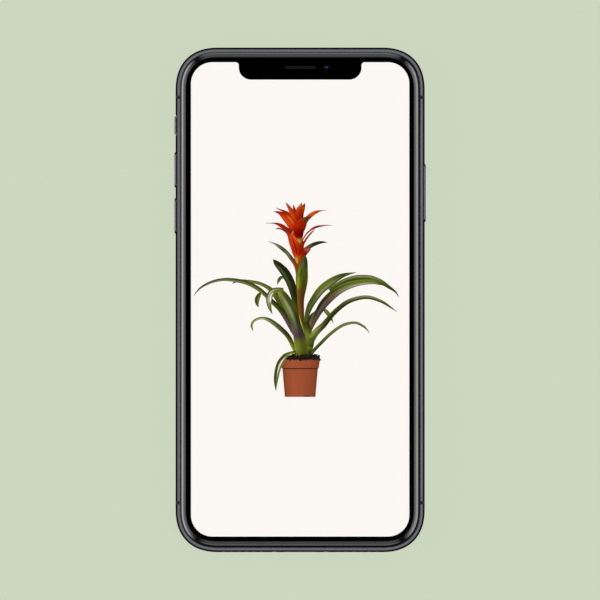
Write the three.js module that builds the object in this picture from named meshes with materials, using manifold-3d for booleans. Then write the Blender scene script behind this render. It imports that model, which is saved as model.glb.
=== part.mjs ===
// A smartphone with a notched screen, lying on its back, in millimetres.
// +X points right, +Y towards the earpiece end and +Z out of the screen.
// The origin is the middle of the back glass's outer face.
import * as THREE from "three";
import { mergeVertices } from "three/addons/utils/BufferGeometryUtils.js";
import Module from "manifold-3d";

const wasm = await Module();
wasm.setup();

// Driving dimensions of the body.
const LENGTH = 143.6;
const WIDTH = 70.9;
const THICKNESS = 7.7;
// Each corner is a superellipse quarter: it leaves the straight sides at CORNER_REACH, and a
// power of 2 would make it a round arc.
const CORNER_REACH = 12.5;
const CORNER_POWER = 2.39;
const CORNER_STEPS = 8;
// Pieces of one solid overlap by OVERLAP, and a cutting tool passes BEYOND the face it opens.
const OVERLAP = 0.1;
const BEYOND = 1;
const HALF_LENGTH = LENGTH / 2;
const HALF_WIDTH = WIDTH / 2;
const MID_HEIGHT = THICKNESS / 2;

// The side band: half round outside, with a ledge inside each face that carries a glass.
const BAND_ARC_STEPS = 10;
const BAND_BACK = 0.95;
const BAND_FRONT = THICKNESS - BAND_BACK;
const BAND_WALL = 1.95;
const LEDGE_REACH = 2.45;
const LEDGE_DEPTH = 0.55;
const SPLIT_WIDTH = 0.9;
const SPLIT_TOP = HALF_LENGTH - 14.2;
const SPLIT_BOTTOM = -HALF_LENGTH + 14.1;

// The two glasses: their polished rim is an arc between two slopes.
const GLASS_THICKNESS = 0.75;
const GLASS_BOTTOM = THICKNESS - GLASS_THICKNESS;
const GLASS_INSET = 1.62;
const RIM_STEPS = 4;
const RIM_STEEP = THREE.MathUtils.degToRad(50);
const RIM_FLAT = THREE.MathUtils.degToRad(82);
const RIM_RADIUS = 2.64;

// The gasket between a glass and the band: a flat ring with a low lip round the glass.
const GASKET = { outer: 1.36, lipChamfer: 0.04, lipInner: 1.56, inner: 2.42, lipHeight: 0.07 };

// The display window, its notch, the mask film round it and the panel behind it.
const SCREEN_WIDTH = 62.2;
const SCREEN_TOP = HALF_LENGTH - 4.15;
const SCREEN_BOTTOM = -HALF_LENGTH + 4.43;
const SCREEN_CORNER = 6.15;
const NOTCH = { width: 34.8, depth: 4.96, corner: 3.42, fillet: 0.95 };
const SCREEN_ARC_STEPS = 7;
const MASK_BOTTOM = GLASS_BOTTOM - 0.1;
const MASK_INSET = 2.5;
const PANEL_BOTTOM = MASK_BOTTOM - 1;
const PANEL_MARGIN = 0.8;

// The mid plate, which the inner parts stand on.
const PLATE_BOTTOM = BAND_BACK + LEDGE_DEPTH;
const PLATE_TOP = PLATE_BOTTOM + 0.4;
const PLATE_INSET = 2.05;

// The parts behind the notch, on their bracket.
const EARPIECE = { y: HALF_LENGTH - 5.68, length: 9, width: 1, meshGap: 0.05, meshTop: 7.5 };
const SPEAKER = { width: 8.9, length: 5, corner: 0.8, top: 6.2 };
const SENSOR_Y = HALF_LENGTH - 5.62;
const FRONT_CAMERA_X = 7.5;
const INFRARED_CAMERA_X = -12.4;
const SMALL_CAMERA = { base: 5, corner: 0.5, baseTop: 5.2, barrel: 2, barrelTop: 6.4, lens: 1.1, top: 6.7 };
const CAMERA_HOLE_RADIUS = 1.4;
const PROJECTOR = { x: 13.2, size: 4.8, corner: 0.6, top: 6.5 };
const LIGHT_SENSOR = { x: -7.6, width: 3.2, length: 3.6, corner: 0.4, top: 6.6 };
const BRACKET = { bottom: 3.4, top: 3.8, width: 32.8, length: 5.4, corner: 1 };
const BRACKET_LEG = { width: 1.4, length: 4, corner: 0.3 };

// The controls in the band's sides: how far they stand proud, and their running clearance.
const CONTROL_PROUD = 0.33;
const CONTROL_WIDTH = 2.9;
const CONTROL_CLEARANCE = 0.15;
const CONTROL_BEVEL = 0.2;
const CONTROL_INNER = HALF_WIDTH - 2.5;
const FLANGE_THICKNESS = 0.4;
const FLANGE_REACH = 0.35;
const CONTROLS = {
  volume_up_button: { side: -1, from: 29.75, to: 39.9 },
  volume_down_button: { side: -1, from: 42.8, to: 53 },
  side_button: { side: 1, from: 33.15, to: 49.65 },
};

// The ring switch slides in its slot from the screen side, where it rests, to the back side.
const SWITCH_TRAVEL = 1;
const SWITCH_Y = HALF_LENGTH - 22.15;
const SWITCH_PAD = { length: 5.3, width: 2.3, corner: 0.7 };
const SWITCH_FLANGE = { length: 6.2, below: 1.35, above: 1.75 };
const SWITCH_BASE = { from: HALF_WIDTH - 3.25, to: HALF_WIDTH - 2.75, length: 6.8, top: 5.4 };

// The dome switches that the buttons press, on brackets beside the battery and the board.
const KEY_BRACKET = { from: HALF_WIDTH - 3.7, to: HALF_WIDTH - 3.3, top: 5.4, margin: 2 };
const KEY_DOME = { radius: 1.6, top: CONTROL_INNER - 0.3, root: 0.1 };

// The card tray in the right side, with the seat for a card.
const TRAY = { y: -6, faceLength: 15.1, faceHeight: 2, faceInner: HALF_WIDTH - 2.45, tenon: 0.2 };
const TRAY_FRAME = { width: 14.2, thickness: 0.9, inner: 21.4 };
const TRAY_TOP = MID_HEIGHT + TRAY_FRAME.thickness / 2;
const CARD_SEAT = { x: 27.2, length: 9.1, width: 12.5, depth: 0.7, corner: 0.8, rim: 0.8 };
const EJECT_HOLE = { offset: 5.9, radius: 0.45 };
const READER = { from: 20.5, to: 31.2, wall: 0.3, gap: 0.35, roof: 4.6, top: 4.8 };

// The bottom end: charge port, screws, and the rows of sound holes.
const PORT = { width: 9, height: 3.2, innerWidth: 8.34, innerHeight: 2.56 };
const PORT_MOUTH = -HALF_LENGTH + 0.15;
const PORT_DEPTH = 7.2;
const PORT_WALL = 0.5;
const PORT_GAP = 0.05;
const TONGUE = { width: 6.69, height: 0.7, length: 4.5 };
const END_SCREW = { x: 7.4, head: 0.75, shaft: 0.45, socket: 0.38 };
const END_SCREW_DEPTHS = { head: 0.25, socket: 0.6, seat: 1.15, tip: 3.4 };
const SCREW_GAP = 0.15;
const SOUND_HOLES = { first: 11, pitch: 2.15, count: 6, radius: 0.7 };
const SOUND_MESH = { margin: 1, height: 2, thickness: 0.3 };

// The rear camera window, flush with the back, with what lies behind it.
const CAMERA_Y = 53;
const WINDOW = { length: 25, width: 11, gap: 0.15, recess: 0.05 };
const LENS = { x: 7.2, radius: 3.5, step: 3.1, barrel: 2.95 };
const FLASH = { radius: 1.6, step: 1.3, led: 1.15, board: 4.2, corner: 0.4, boardTop: 2.6 };
const REAR_MIC = { x: 2.75, radius: 0.35 };
const COVER_GAP = 0.05;
const COVER_BOTTOM = 0.15;
const COVER_TOP = 0.78;
const BARREL_BOTTOM = 0.85;
const REAR_CAMERA = { size: 9.4, corner: 1, top: 5.4, plateHole: 3.5 };

// Charging coil and its shield, in the mid plate's round opening.
const COIL = { radius: 24.5, hole: 12, opening: 25, top: 1.35, shieldTop: 1.75, sides: 40 };

// The inner parts that are plain blocks with round corners: centre, size, heights and corner.
const BATTERY = { x: -10.9, y: -1.75, width: 39.8, length: 94.5, top: 5.5, corner: 2 };
const BOARD = { x: 20.8, y: 2.5, width: 20.8, length: 87, bottom: 2.3, top: 2.9, corner: 1 };
const BOARD_PAD = { x: 20.75, y: 2.5, width: 17.5, length: 83 };
const PROCESSOR_SHIELD = { x: 21.1, y: 26.5, width: 17.8, length: 33, top: 4.7 };
const RADIO_SHIELD = { x: 21.1, y: -27.25, width: 17.8, length: 23.5, top: 4.5 };
const LOUDSPEAKER = { x: 18.4, y: -60.6, width: 17.2, length: 16.4, top: 5.5, corner: 3 };
const MOTOR = { x: -18.4, y: -60.75, width: 17.2, length: 13.5, top: 5.3, corner: 1.5 };
const PORT_BOARD = { x: 0, y: -60.65, width: 18.4, length: 17.3, corner: 0.6 };
const BOARD_SCREW = { x: 28.6, fromEnd: 1.15, head: 0.9, shaft: 0.5, hole: 0.65, height: 0.5 };
const FLEX_THICKNESS = 0.2;
const BATTERY_CABLE = { from: 36, to: 41, reach: 6 };
const DISPLAY_CABLE = { left: 15, right: 23, bottom: 43.4, top: 45.8 };
const PORT_CABLE = { left: 2, right: 14, width: 2.6, reach: 2.4, gap: 1 };
const BEVEL = 0.25;

const steel = { color: 0x37363b, metalness: 1, roughness: 0.28 };
const plateSteel = { color: 0x77777c, metalness: 1, roughness: 0.4 };
const blackPlastic = { color: 0x0b0b0c, metalness: 0, roughness: 0.5 };
const blackGlass = { color: 0x0a0a0b, metalness: 0, roughness: 0.05 };
const clearGlass = { color: 0xdfe6ea, metalness: 0, roughness: 0.02 };
const litScreen = { color: 0xfcf7f3, metalness: 0, roughness: 0.3 };
const circuitBoard = { color: 0x12291d, metalness: 0, roughness: 0.55 };
const copper = { color: 0xb87349, metalness: 1, roughness: 0.35 };
const pouch = { color: 0x1d1d20, metalness: 0.3, roughness: 0.45 };
const flexFilm = { color: 0x2a1c12, metalness: 0, roughness: 0.5 };
const flashGlass = { color: 0xf1e7c8, metalness: 0, roughness: 0.2 };
const thermalPad = { color: 0x6f7479, metalness: 0, roughness: 0.8 };

const phone = new THREE.Group();

// Add one named mesh to the phone, moved to its place.
function add(name, geometry, look, place = [0, 0, 0]) {
  const mesh = new THREE.Mesh(geometry, new THREE.MeshStandardMaterial(look));
  mesh.name = name;
  mesh.position.set(...place);
  phone.add(mesh);
}

// One station of a corner's curve: a point of the outline and its outward normal. Corner 0 is
// the one at +X, +Y, and the others follow counter-clockwise.
function cornerStation(corner, step) {
  const angle = (Math.PI / 2) * (step / CORNER_STEPS);
  const parts = [Math.max(Math.cos(angle), 0), Math.sin(angle)];
  const curve = parts.map((part) => CORNER_REACH * part ** (2 / CORNER_POWER));
  const normal = parts.map((part) => part ** (2 - 2 / CORNER_POWER));
  const [x, y] = quarterTurned(curve, corner);
  const [nx, ny] = quarterTurned(normal, corner);
  const right = corner === 0 || corner === 3 ? 1 : -1;
  const up = corner < 2 ? 1 : -1;
  return {
    x: right * (HALF_WIDTH - CORNER_REACH) + x,
    y: up * (HALF_LENGTH - CORNER_REACH) + y,
    nx: nx / Math.hypot(nx, ny),
    ny: ny / Math.hypot(nx, ny),
  };
}

function quarterTurned([x, y], quarters) {
  return [[x, y], [-y, x], [-x, -y], [y, -x]][quarters];
}

function cornerStations(first, count) {
  const stations = [];
  for (let corner = first; corner < first + count; corner += 1) {
    for (let step = 0; step <= CORNER_STEPS; step += 1) {
      stations.push(cornerStation(corner, step));
    }
  }
  return stations;
}

// A loop is a function that gives an outline's points, shrunk by an inset. This one is the
// phone's own outline.
function bodyLoop(inset) {
  return cornerStations(0, 4).map(
    (station) => new THREE.Vector2(station.x - inset * station.nx, station.y - inset * station.ny),
  );
}

function roundedLoop(width, length, radius, steps = 4) {
  return (inset) => {
    const r = radius - inset;
    const x = width / 2 - radius;
    const y = length / 2 - radius;
    const points = [];
    [[x, y], [-x, y], [-x, -y], [x, -y]].forEach(([cx, cy], corner) => {
      for (let step = 0; step <= steps; step += 1) {
        const angle = (Math.PI / 2) * (corner + step / steps);
        points.push(new THREE.Vector2(cx + r * Math.cos(angle), cy + r * Math.sin(angle)));
      }
    });
    return points;
  };
}

// A slot outline with round ends, which lies along the longer of its two sizes.
function slotLoop(width, length, steps = 6) {
  const alongX = width > length;
  const radius = Math.min(width, length) / 2;
  const reach = Math.max(width, length) / 2 - radius;
  return (inset) => {
    const r = radius - inset;
    const points = [];
    for (const half of [0, 1]) {
      for (let step = 0; step <= steps; step += 1) {
        const angle = Math.PI * (half + step / steps);
        const across = r * Math.cos(angle);
        const along = (1 - 2 * half) * reach + r * Math.sin(angle);
        points.push(alongX ? new THREE.Vector2(along, -across) : new THREE.Vector2(across, along));
      }
    }
    return points;
  };
}

function roundLoop(radius, sides = 20) {
  return (inset) => {
    const points = [];
    for (let side = 0; side < sides; side += 1) {
      const angle = (2 * Math.PI * side) / sides;
      const direction = new THREE.Vector2(Math.cos(angle), Math.sin(angle));
      points.push(direction.multiplyScalar(radius - inset));
    }
    return points;
  };
}

// A closed geometry from points and triangles, with its faces turned outwards.
function closedGeometry(points, triangles) {
  let volume = 0;
  for (let i = 0; i < triangles.length; i += 3) {
    const [a, b, c] = [0, 1, 2].map((k) => new THREE.Vector3(...points[triangles[i + k]]));
    volume += a.dot(b.cross(c));
  }
  const geometry = new THREE.BufferGeometry();
  geometry.setAttribute("position", new THREE.Float32BufferAttribute(points.flat(), 3));
  geometry.setIndex(volume > 0 ? triangles : [...triangles].reverse());
  geometry.computeVertexNormals();
  return geometry;
}

// Join rows of points by quads, each row a closed loop; a ring also joins its last row to its
// first.
function quadTriangles(rows, columns, ring) {
  const triangles = [];
  for (let row = 0; row < (ring ? rows : rows - 1); row += 1) {
    const above = (row + 1) % rows;
    for (let column = 0; column < columns; column += 1) {
      const next = (column + 1) % columns;
      const near = [row * columns + column, row * columns + next];
      const far = [above * columns + next, above * columns + column];
      triangles.push(near[0], near[1], far[0], near[0], far[0], far[1]);
    }
  }
  return triangles;
}

// Fill a contour with triangles that run the same way round as its points, or the other way.
function capTriangles(contour, firstIndex, otherWay) {
  const triangles = THREE.ShapeUtils.triangulateShape(contour, []).flat();
  const placed = triangles.map((index) => index + firstIndex);
  return THREE.ShapeUtils.isClockWise(contour) === otherWay ? placed : placed.reverse();
}

// Stack a loop at rising heights, each level an inset and a height, and cap both ends.
function stack(loop, levels) {
  const loops = levels.map(([inset]) => loop(inset));
  const columns = loops[0].length;
  const last = levels.length - 1;
  return closedGeometry(
    loops.flatMap((points, row) => points.map((p) => [p.x, p.y, levels[row][1]])),
    [
      ...quadTriangles(levels.length, columns, false),
      ...capTriangles(loops[0], 0, true),
      ...capTriangles(loops[last], last * columns, false),
    ],
  );
}

function slab(loop, bottom, top) {
  return stack(loop, [[0, bottom], [0, top]]);
}

// A slab whose top edge is bevelled.
function bevelledSlab(loop, bottom, top) {
  return stack(loop, [[0, bottom], [0, top - BEVEL], [BEVEL, top]]);
}

// A plain block between two opposite corners.
function block(low, high) {
  const geometry = new THREE.BoxGeometry(...high.map((value, axis) => value - low[axis]));
  return geometry.translate(...high.map((value, axis) => (value + low[axis]) / 2));
}

// Change each point of a geometry, in a way that keeps its faces pointing out.
function remapped(geometry, change) {
  const position = geometry.getAttribute("position");
  for (let i = 0; i < position.count; i += 1) {
    position.setXYZ(i, ...change(position.getX(i), position.getY(i), position.getZ(i)));
  }
  geometry.computeVertexNormals();
  return geometry;
}

// Lay a stack along X: its own x becomes Y and its own y becomes Z.
function laidAlongX(geometry) {
  return remapped(geometry, (x, y, z) => [z, x, y]);
}

// Lay a stack along Y: its own y becomes X and its own x becomes Z.
function laidAlongY(geometry) {
  return remapped(geometry, (x, y, z) => [y, z, x]);
}

// Turn what was made for the right side to face its own side.
function facing(geometry, side) {
  return side > 0 ? geometry : remapped(geometry, (x, y, z) => [-x, -y, z]);
}

// Sweep a section of [inset, height] points along stations; a ring closes on itself.
function sweep(stations, section, ring = false) {
  const points = stations.flatMap((station) =>
    section.map(([inset, height]) => [
      station.x - inset * station.nx,
      station.y - inset * station.ny,
      height,
    ]),
  );
  const triangles = quadTriangles(stations.length, section.length, ring);
  if (!ring) {
    const contour = section.map(([inset, height]) => new THREE.Vector2(inset, height));
    const lastIndex = (stations.length - 1) * section.length;
    triangles.push(...capTriangles(contour, 0, true), ...capTriangles(contour, lastIndex, false));
  }
  return closedGeometry(points, triangles);
}

function solid(geometry) {
  const bare = geometry.clone();
  bare.deleteAttribute("normal");
  bare.deleteAttribute("uv");
  const merged = mergeVertices(bare, 1e-4);
  return new wasm.Manifold(
    new wasm.Mesh({
      numProp: 3,
      vertProperties: merged.getAttribute("position").array,
      triVerts: new Uint32Array(merged.index.array),
    }),
  );
}

function geometryOf(manifold) {
  const mesh = manifold.getMesh();
  const geometry = new THREE.BufferGeometry();
  geometry.setAttribute("position", new THREE.BufferAttribute(mesh.vertProperties, 3));
  geometry.setIndex(new THREE.BufferAttribute(mesh.triVerts, 1));
  geometry.computeVertexNormals();
  return geometry;
}

function cut(geometry, ...tools) {
  return geometryOf(tools.reduce((left, tool) => left.subtract(solid(tool)), solid(geometry)));
}

function joined(geometry, ...others) {
  return geometryOf(others.reduce((sum, other) => sum.add(solid(other)), solid(geometry)));
}

function common(geometry, other) {
  return geometryOf(solid(geometry).intersect(solid(other)));
}

// The half-round outside of the band's section, from the back to the front.
function bandArc() {
  const reach = Math.asin((MID_HEIGHT - BAND_BACK) / MID_HEIGHT);
  const points = [];
  for (let step = 0; step <= BAND_ARC_STEPS; step += 1) {
    const angle = reach * ((2 * step) / BAND_ARC_STEPS - 1);
    points.push([MID_HEIGHT * (1 - Math.cos(angle)), MID_HEIGHT * (1 + Math.sin(angle))]);
  }
  return points;
}

function bandSection() {
  return [
    ...bandArc(),
    [LEDGE_REACH, BAND_FRONT],
    [LEDGE_REACH, BAND_FRONT - LEDGE_DEPTH],
    [BAND_WALL, BAND_FRONT - LEDGE_DEPTH],
    [BAND_WALL, BAND_BACK + LEDGE_DEPTH],
    [LEDGE_REACH, BAND_BACK + LEDGE_DEPTH],
    [LEDGE_REACH, BAND_BACK],
  ];
}

function sideStation(side, y) {
  return { x: side * HALF_WIDTH, y, nx: side, ny: 0 };
}

function sideLength(side, low, high, section = bandSection()) {
  return sweep([sideStation(side, low), sideStation(side, high)], section);
}

// A band end runs from one side, round two corners, to the other side.
function endLength(firstCorner, y) {
  const side = firstCorner === 0 ? 1 : -1;
  const corners = cornerStations(firstCorner, 2);
  return sweep([sideStation(side, y), ...corners, sideStation(-side, y)], bandSection());
}

// A tool that cuts through a side of the band, its loop's x along the phone's length.
function sideCutter(side, y, loop) {
  const tool = facing(laidAlongX(slab(loop, CONTROL_INNER - BEYOND, HALF_WIDTH + BEYOND)), side);
  return tool.translate(0, y, MID_HEIGHT);
}

function controlMiddle({ from, to }) {
  return HALF_LENGTH - (from + to) / 2;
}

function controlSlot(control) {
  const length = control.to - control.from + 2 * CONTROL_CLEARANCE;
  const loop = slotLoop(length, CONTROL_WIDTH + 2 * CONTROL_CLEARANCE);
  return sideCutter(control.side, controlMiddle(control), loop);
}

function ringSwitchSlot() {
  const { length, width, corner } = SWITCH_PAD;
  const loop = roundedLoop(
    length + 2 * CONTROL_CLEARANCE,
    width + SWITCH_TRAVEL + 2 * CONTROL_CLEARANCE,
    corner + CONTROL_CLEARANCE,
  );
  return sideCutter(-1, SWITCH_Y, loop);
}

function traySlot() {
  const length = TRAY.faceLength + 2 * CONTROL_CLEARANCE;
  return sideCutter(1, TRAY.y, slotLoop(length, TRAY.faceHeight + 2 * CONTROL_CLEARANCE));
}

// A tool in the bottom end, between two depths from its outermost line, its loop's y across.
function endTool(x, loop, from, to) {
  const tool = laidAlongY(slab(loop, -HALF_LENGTH + from, -HALF_LENGTH + to));
  return tool.translate(x, 0, MID_HEIGHT);
}

function soundHoleXs(side) {
  const steps = Array.from({ length: SOUND_HOLES.count }, (_, hole) => hole);
  return steps.map((hole) => side * (SOUND_HOLES.first + hole * SOUND_HOLES.pitch));
}

function bottomCutters() {
  const through = LEDGE_REACH + BEYOND;
  const portLoop = slotLoop(PORT.height + 2 * PORT_GAP, PORT.width + 2 * PORT_GAP);
  const soundLoop = roundLoop(SOUND_HOLES.radius, 10);
  const cutters = [endTool(0, portLoop, -BEYOND, through)];
  for (const side of [-1, 1]) {
    const screwX = side * END_SCREW.x;
    const headLoop = roundLoop(END_SCREW.head + SCREW_GAP, 14);
    const shaftLoop = roundLoop(END_SCREW.shaft + SCREW_GAP, 12);
    cutters.push(endTool(screwX, headLoop, -BEYOND, END_SCREW_DEPTHS.seat));
    cutters.push(endTool(screwX, shaftLoop, END_SCREW_DEPTHS.seat - OVERLAP, through));
    cutters.push(...soundHoleXs(side).map((x) => endTool(x, soundLoop, -BEYOND, through)));
  }
  return cutters;
}

function addBand() {
  const gap = SPLIT_WIDTH / 2;
  const left = sideLength(-1, SPLIT_BOTTOM + gap, SPLIT_TOP - gap);
  const right = sideLength(1, SPLIT_BOTTOM + gap, SPLIT_TOP - gap);
  const { volume_up_button: up, volume_down_button: down, side_button: side } = CONTROLS;
  add("band_left", cut(left, ringSwitchSlot(), controlSlot(up), controlSlot(down)), steel);
  add("band_right", cut(right, controlSlot(side), traySlot()), steel);
  add("band_top", endLength(0, SPLIT_TOP + gap), steel);
  add("band_bottom", cut(endLength(2, SPLIT_BOTTOM - gap), ...bottomCutters()), steel);
  for (const [word, sign] of [["left", -1], ["right", 1]]) {
    const topSplit = sideLength(sign, SPLIT_TOP - gap, SPLIT_TOP + gap);
    const bottomSplit = sideLength(sign, SPLIT_BOTTOM - gap, SPLIT_BOTTOM + gap);
    add(`antenna_split_top_${word}`, topSplit, blackPlastic);
    add(`antenna_split_bottom_${word}`, bottomSplit, blackPlastic);
  }
}

// The mid plate, open round the coil and where the rear cameras and the flash look out.
function addMidPlate() {
  const plate = stack(bodyLoop, [[PLATE_INSET, PLATE_BOTTOM], [PLATE_INSET, PLATE_TOP]]);
  const hole = (radius, x, y, sides) =>
    slab(roundLoop(radius, sides), PLATE_BOTTOM - BEYOND, PLATE_TOP + BEYOND).translate(x, y, 0);
  add(
    "mid_plate",
    cut(
      plate,
      hole(COIL.opening, 0, 0, COIL.sides),
      hole(REAR_CAMERA.plateHole, -LENS.x, CAMERA_Y, 20),
      hole(REAR_CAMERA.plateHole, LENS.x, CAMERA_Y, 20),
      hole(FLASH.radius, 0, CAMERA_Y, 14),
    ),
    plateSteel,
  );
}

// The glass's levels from its inner face out, with the polished rim as an arc.
function glassLevels() {
  const levels = [[GLASS_INSET, GLASS_BOTTOM]];
  for (let step = 0; step <= RIM_STEPS; step += 1) {
    const slope = RIM_STEEP + (RIM_FLAT - RIM_STEEP) * (step / RIM_STEPS);
    levels.push([
      GLASS_INSET + RIM_RADIUS * (Math.cos(RIM_STEEP) - Math.cos(slope)),
      THICKNESS - RIM_RADIUS * (Math.sin(RIM_FLAT) - Math.sin(slope)),
    ]);
  }
  return levels;
}

// The same levels or section seen from the back face.
function fromBack(levels) {
  return levels.map(([inset, height]) => [inset, THICKNESS - height]);
}

function gasketSection() {
  const lipTop = GLASS_BOTTOM + GASKET.lipHeight;
  return [
    [GASKET.outer, BAND_FRONT],
    [GASKET.inner, BAND_FRONT],
    [GASKET.inner, GLASS_BOTTOM],
    [GASKET.lipInner, GLASS_BOTTOM],
    [GASKET.lipInner, lipTop],
    [GASKET.outer + GASKET.lipChamfer, lipTop],
    [GASKET.outer, lipTop - GASKET.lipChamfer],
  ];
}

// The display window's outline with its notch, grown outwards by a margin.
function screenShape(margin) {
  const side = SCREEN_WIDTH / 2 + margin;
  const top = SCREEN_TOP + margin;
  const bottom = SCREEN_BOTTOM - margin;
  const corner = SCREEN_CORNER + margin;
  const notch = NOTCH.width / 2 - margin;
  const notchBottom = SCREEN_TOP - NOTCH.depth + margin;
  const notchCorner = NOTCH.corner - margin;
  const notchCentre = notch - notchCorner;
  const fillet = NOTCH.fillet + margin;
  const quarter = Math.PI / 2;
  const shape = new THREE.Shape();
  shape.moveTo(-side + corner, bottom);
  shape.absarc(side - corner, bottom + corner, corner, -quarter, 0);
  shape.absarc(side - corner, top - corner, corner, 0, quarter);
  shape.absarc(notch + fillet, top - fillet, fillet, quarter, 2 * quarter);
  const notchY = notchBottom + notchCorner;
  shape.absarc(notchCentre, notchY, notchCorner, 0, -quarter, true);
  shape.absarc(-notchCentre, notchY, notchCorner, -quarter, -2 * quarter, true);
  shape.absarc(-notch - fillet, top - fillet, fillet, 0, quarter);
  shape.absarc(-side + corner, top - corner, corner, quarter, 2 * quarter);
  shape.absarc(-side + corner, bottom + corner, corner, 2 * quarter, 3 * quarter);
  return shape;
}

function screenSolid(margin, bottom, top) {
  const options = { depth: top - bottom, bevelEnabled: false, curveSegments: SCREEN_ARC_STEPS };
  return new THREE.ExtrudeGeometry(screenShape(margin), options).translate(0, 0, bottom);
}

function earpieceSlot(shrink, bottom, top) {
  const loop = slotLoop(EARPIECE.length - 2 * shrink, EARPIECE.width - 2 * shrink);
  return slab(loop, bottom, top).translate(0, EARPIECE.y, 0);
}

// Front glass, gaskets, mask film and display panel.
function addFront() {
  const rings = cornerStations(0, 4);
  const glass = stack(bodyLoop, glassLevels());
  const film = stack(bodyLoop, [[MASK_INSET, MASK_BOTTOM], [MASK_INSET, GLASS_BOTTOM]]);
  const window = screenSolid(0, MASK_BOTTOM - BEYOND, GLASS_BOTTOM + BEYOND);
  const slot = earpieceSlot(0, MASK_BOTTOM - BEYOND, THICKNESS + BEYOND);
  const eye = slab(roundLoop(CAMERA_HOLE_RADIUS), MASK_BOTTOM - BEYOND, GLASS_BOTTOM + BEYOND);
  eye.translate(FRONT_CAMERA_X, SENSOR_Y, 0);
  add("front_gasket", sweep(rings, gasketSection(), true), blackPlastic);
  add("back_gasket", sweep(rings, fromBack(gasketSection()), true), blackPlastic);
  add("front_glass", cut(glass, slot), clearGlass);
  add("glass_mask", cut(film, window, slot, eye), blackPlastic);
  add("display_panel", screenSolid(PANEL_MARGIN, PANEL_BOTTOM, MASK_BOTTOM), litScreen);
  add("earpiece_mesh", earpieceSlot(EARPIECE.meshGap, SPEAKER.top, EARPIECE.meshTop), plateSteel);
}

function smallCamera() {
  const { base, corner, baseTop, barrel, barrelTop, lens, top } = SMALL_CAMERA;
  const body = slab(roundedLoop(base, base, corner), BRACKET.top, baseTop);
  const levels = [[0, baseTop - OVERLAP], [0, barrelTop], [barrel - lens, top]];
  return joined(body, stack(roundLoop(barrel), levels));
}

// Earpiece speaker, cameras and sensors on the bracket behind the notch.
function addNotchParts() {
  const { width: legWidth, length: legLength, corner: legCorner } = BRACKET_LEG;
  const legX = BRACKET.width / 2 - legWidth / 2;
  const legLoop = roundedLoop(legWidth, legLength, legCorner);
  const leg = (x) => slab(legLoop, PLATE_TOP, BRACKET.bottom + OVERLAP).translate(x, 0, 0);
  const plateLoop = roundedLoop(BRACKET.width, BRACKET.length, BRACKET.corner);
  const bracket = joined(slab(plateLoop, BRACKET.bottom, BRACKET.top), leg(-legX), leg(legX));
  add("sensor_bracket", bracket, plateSteel, [0, SENSOR_Y, 0]);
  const speaker = roundedLoop(SPEAKER.width, SPEAKER.length, SPEAKER.corner);
  add("earpiece_speaker", slab(speaker, BRACKET.top, SPEAKER.top), blackPlastic, [0, EARPIECE.y, 0]);
  add("front_camera", smallCamera(), blackGlass, [FRONT_CAMERA_X, SENSOR_Y, 0]);
  add("infrared_camera", smallCamera(), blackGlass, [INFRARED_CAMERA_X, SENSOR_Y, 0]);
  const projector = roundedLoop(PROJECTOR.size, PROJECTOR.size, PROJECTOR.corner);
  const projectorBody = bevelledSlab(projector, BRACKET.top, PROJECTOR.top);
  add("pattern_projector", projectorBody, blackGlass, [PROJECTOR.x, SENSOR_Y, 0]);
  const sensor = roundedLoop(LIGHT_SENSOR.width, LIGHT_SENSOR.length, LIGHT_SENSOR.corner);
  const sensorBody = bevelledSlab(sensor, BRACKET.top, LIGHT_SENSOR.top);
  add("light_sensor", sensorBody, blackGlass, [LIGHT_SENSOR.x, SENSOR_Y, 0]);
}

// Each button has a flange inside the wall, which keeps it in its slot.
function addButtons() {
  const flangeTop = CONTROL_INNER + FLANGE_THICKNESS;
  const face = HALF_WIDTH + CONTROL_PROUD;
  const levels = [
    [-FLANGE_REACH, CONTROL_INNER],
    [-FLANGE_REACH, flangeTop],
    [0, flangeTop],
    [0, face - CONTROL_BEVEL],
    [CONTROL_BEVEL, face],
  ];
  for (const [name, control] of Object.entries(CONTROLS)) {
    const loop = slotLoop(control.to - control.from, CONTROL_WIDTH);
    const button = facing(laidAlongX(stack(loop, levels)), control.side);
    add(name, button, steel, [0, controlMiddle(control), MID_HEIGHT]);
  }
}

function addRingSwitch() {
  const { length, width, corner } = SWITCH_PAD;
  const face = HALF_WIDTH + CONTROL_PROUD;
  const flangeTop = CONTROL_INNER + FLANGE_THICKNESS;
  const levels = [[0, flangeTop - OVERLAP], [0, face - CONTROL_BEVEL], [CONTROL_BEVEL, face]];
  const pad = laidAlongX(stack(roundedLoop(length, width, corner), levels));
  const half = SWITCH_FLANGE.length / 2;
  const flange = block(
    [CONTROL_INNER, -half, -SWITCH_FLANGE.below],
    [flangeTop, half, SWITCH_FLANGE.above],
  );
  const place = [0, SWITCH_Y, MID_HEIGHT + SWITCH_TRAVEL / 2];
  add("ring_switch", facing(joined(pad, flange), -1), steel, place);
  const base = block(
    [-SWITCH_BASE.to, SWITCH_Y - SWITCH_BASE.length / 2, PLATE_TOP],
    [-SWITCH_BASE.from, SWITCH_Y + SWITCH_BASE.length / 2, SWITCH_BASE.top],
  );
  add("ring_switch_base", base, blackPlastic);
}

// A bracket with one dome switch behind each button that it serves.
function keyBracket(side, controls) {
  const middles = controls.map(controlMiddle);
  const low = Math.min(...middles) - KEY_BRACKET.margin;
  const high = Math.max(...middles) + KEY_BRACKET.margin;
  const [near, far] = [side * KEY_BRACKET.from, side * KEY_BRACKET.to].sort((a, b) => a - b);
  const wall = block([near, low, PLATE_TOP], [far, high, KEY_BRACKET.top]);
  const domeLoop = roundLoop(KEY_DOME.radius, 14);
  const domes = middles.map((y) => {
    const dome = laidAlongX(slab(domeLoop, KEY_BRACKET.to - KEY_DOME.root, KEY_DOME.top));
    return facing(dome, side).translate(0, y, MID_HEIGHT);
  });
  return joined(wall, ...domes);
}

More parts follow.
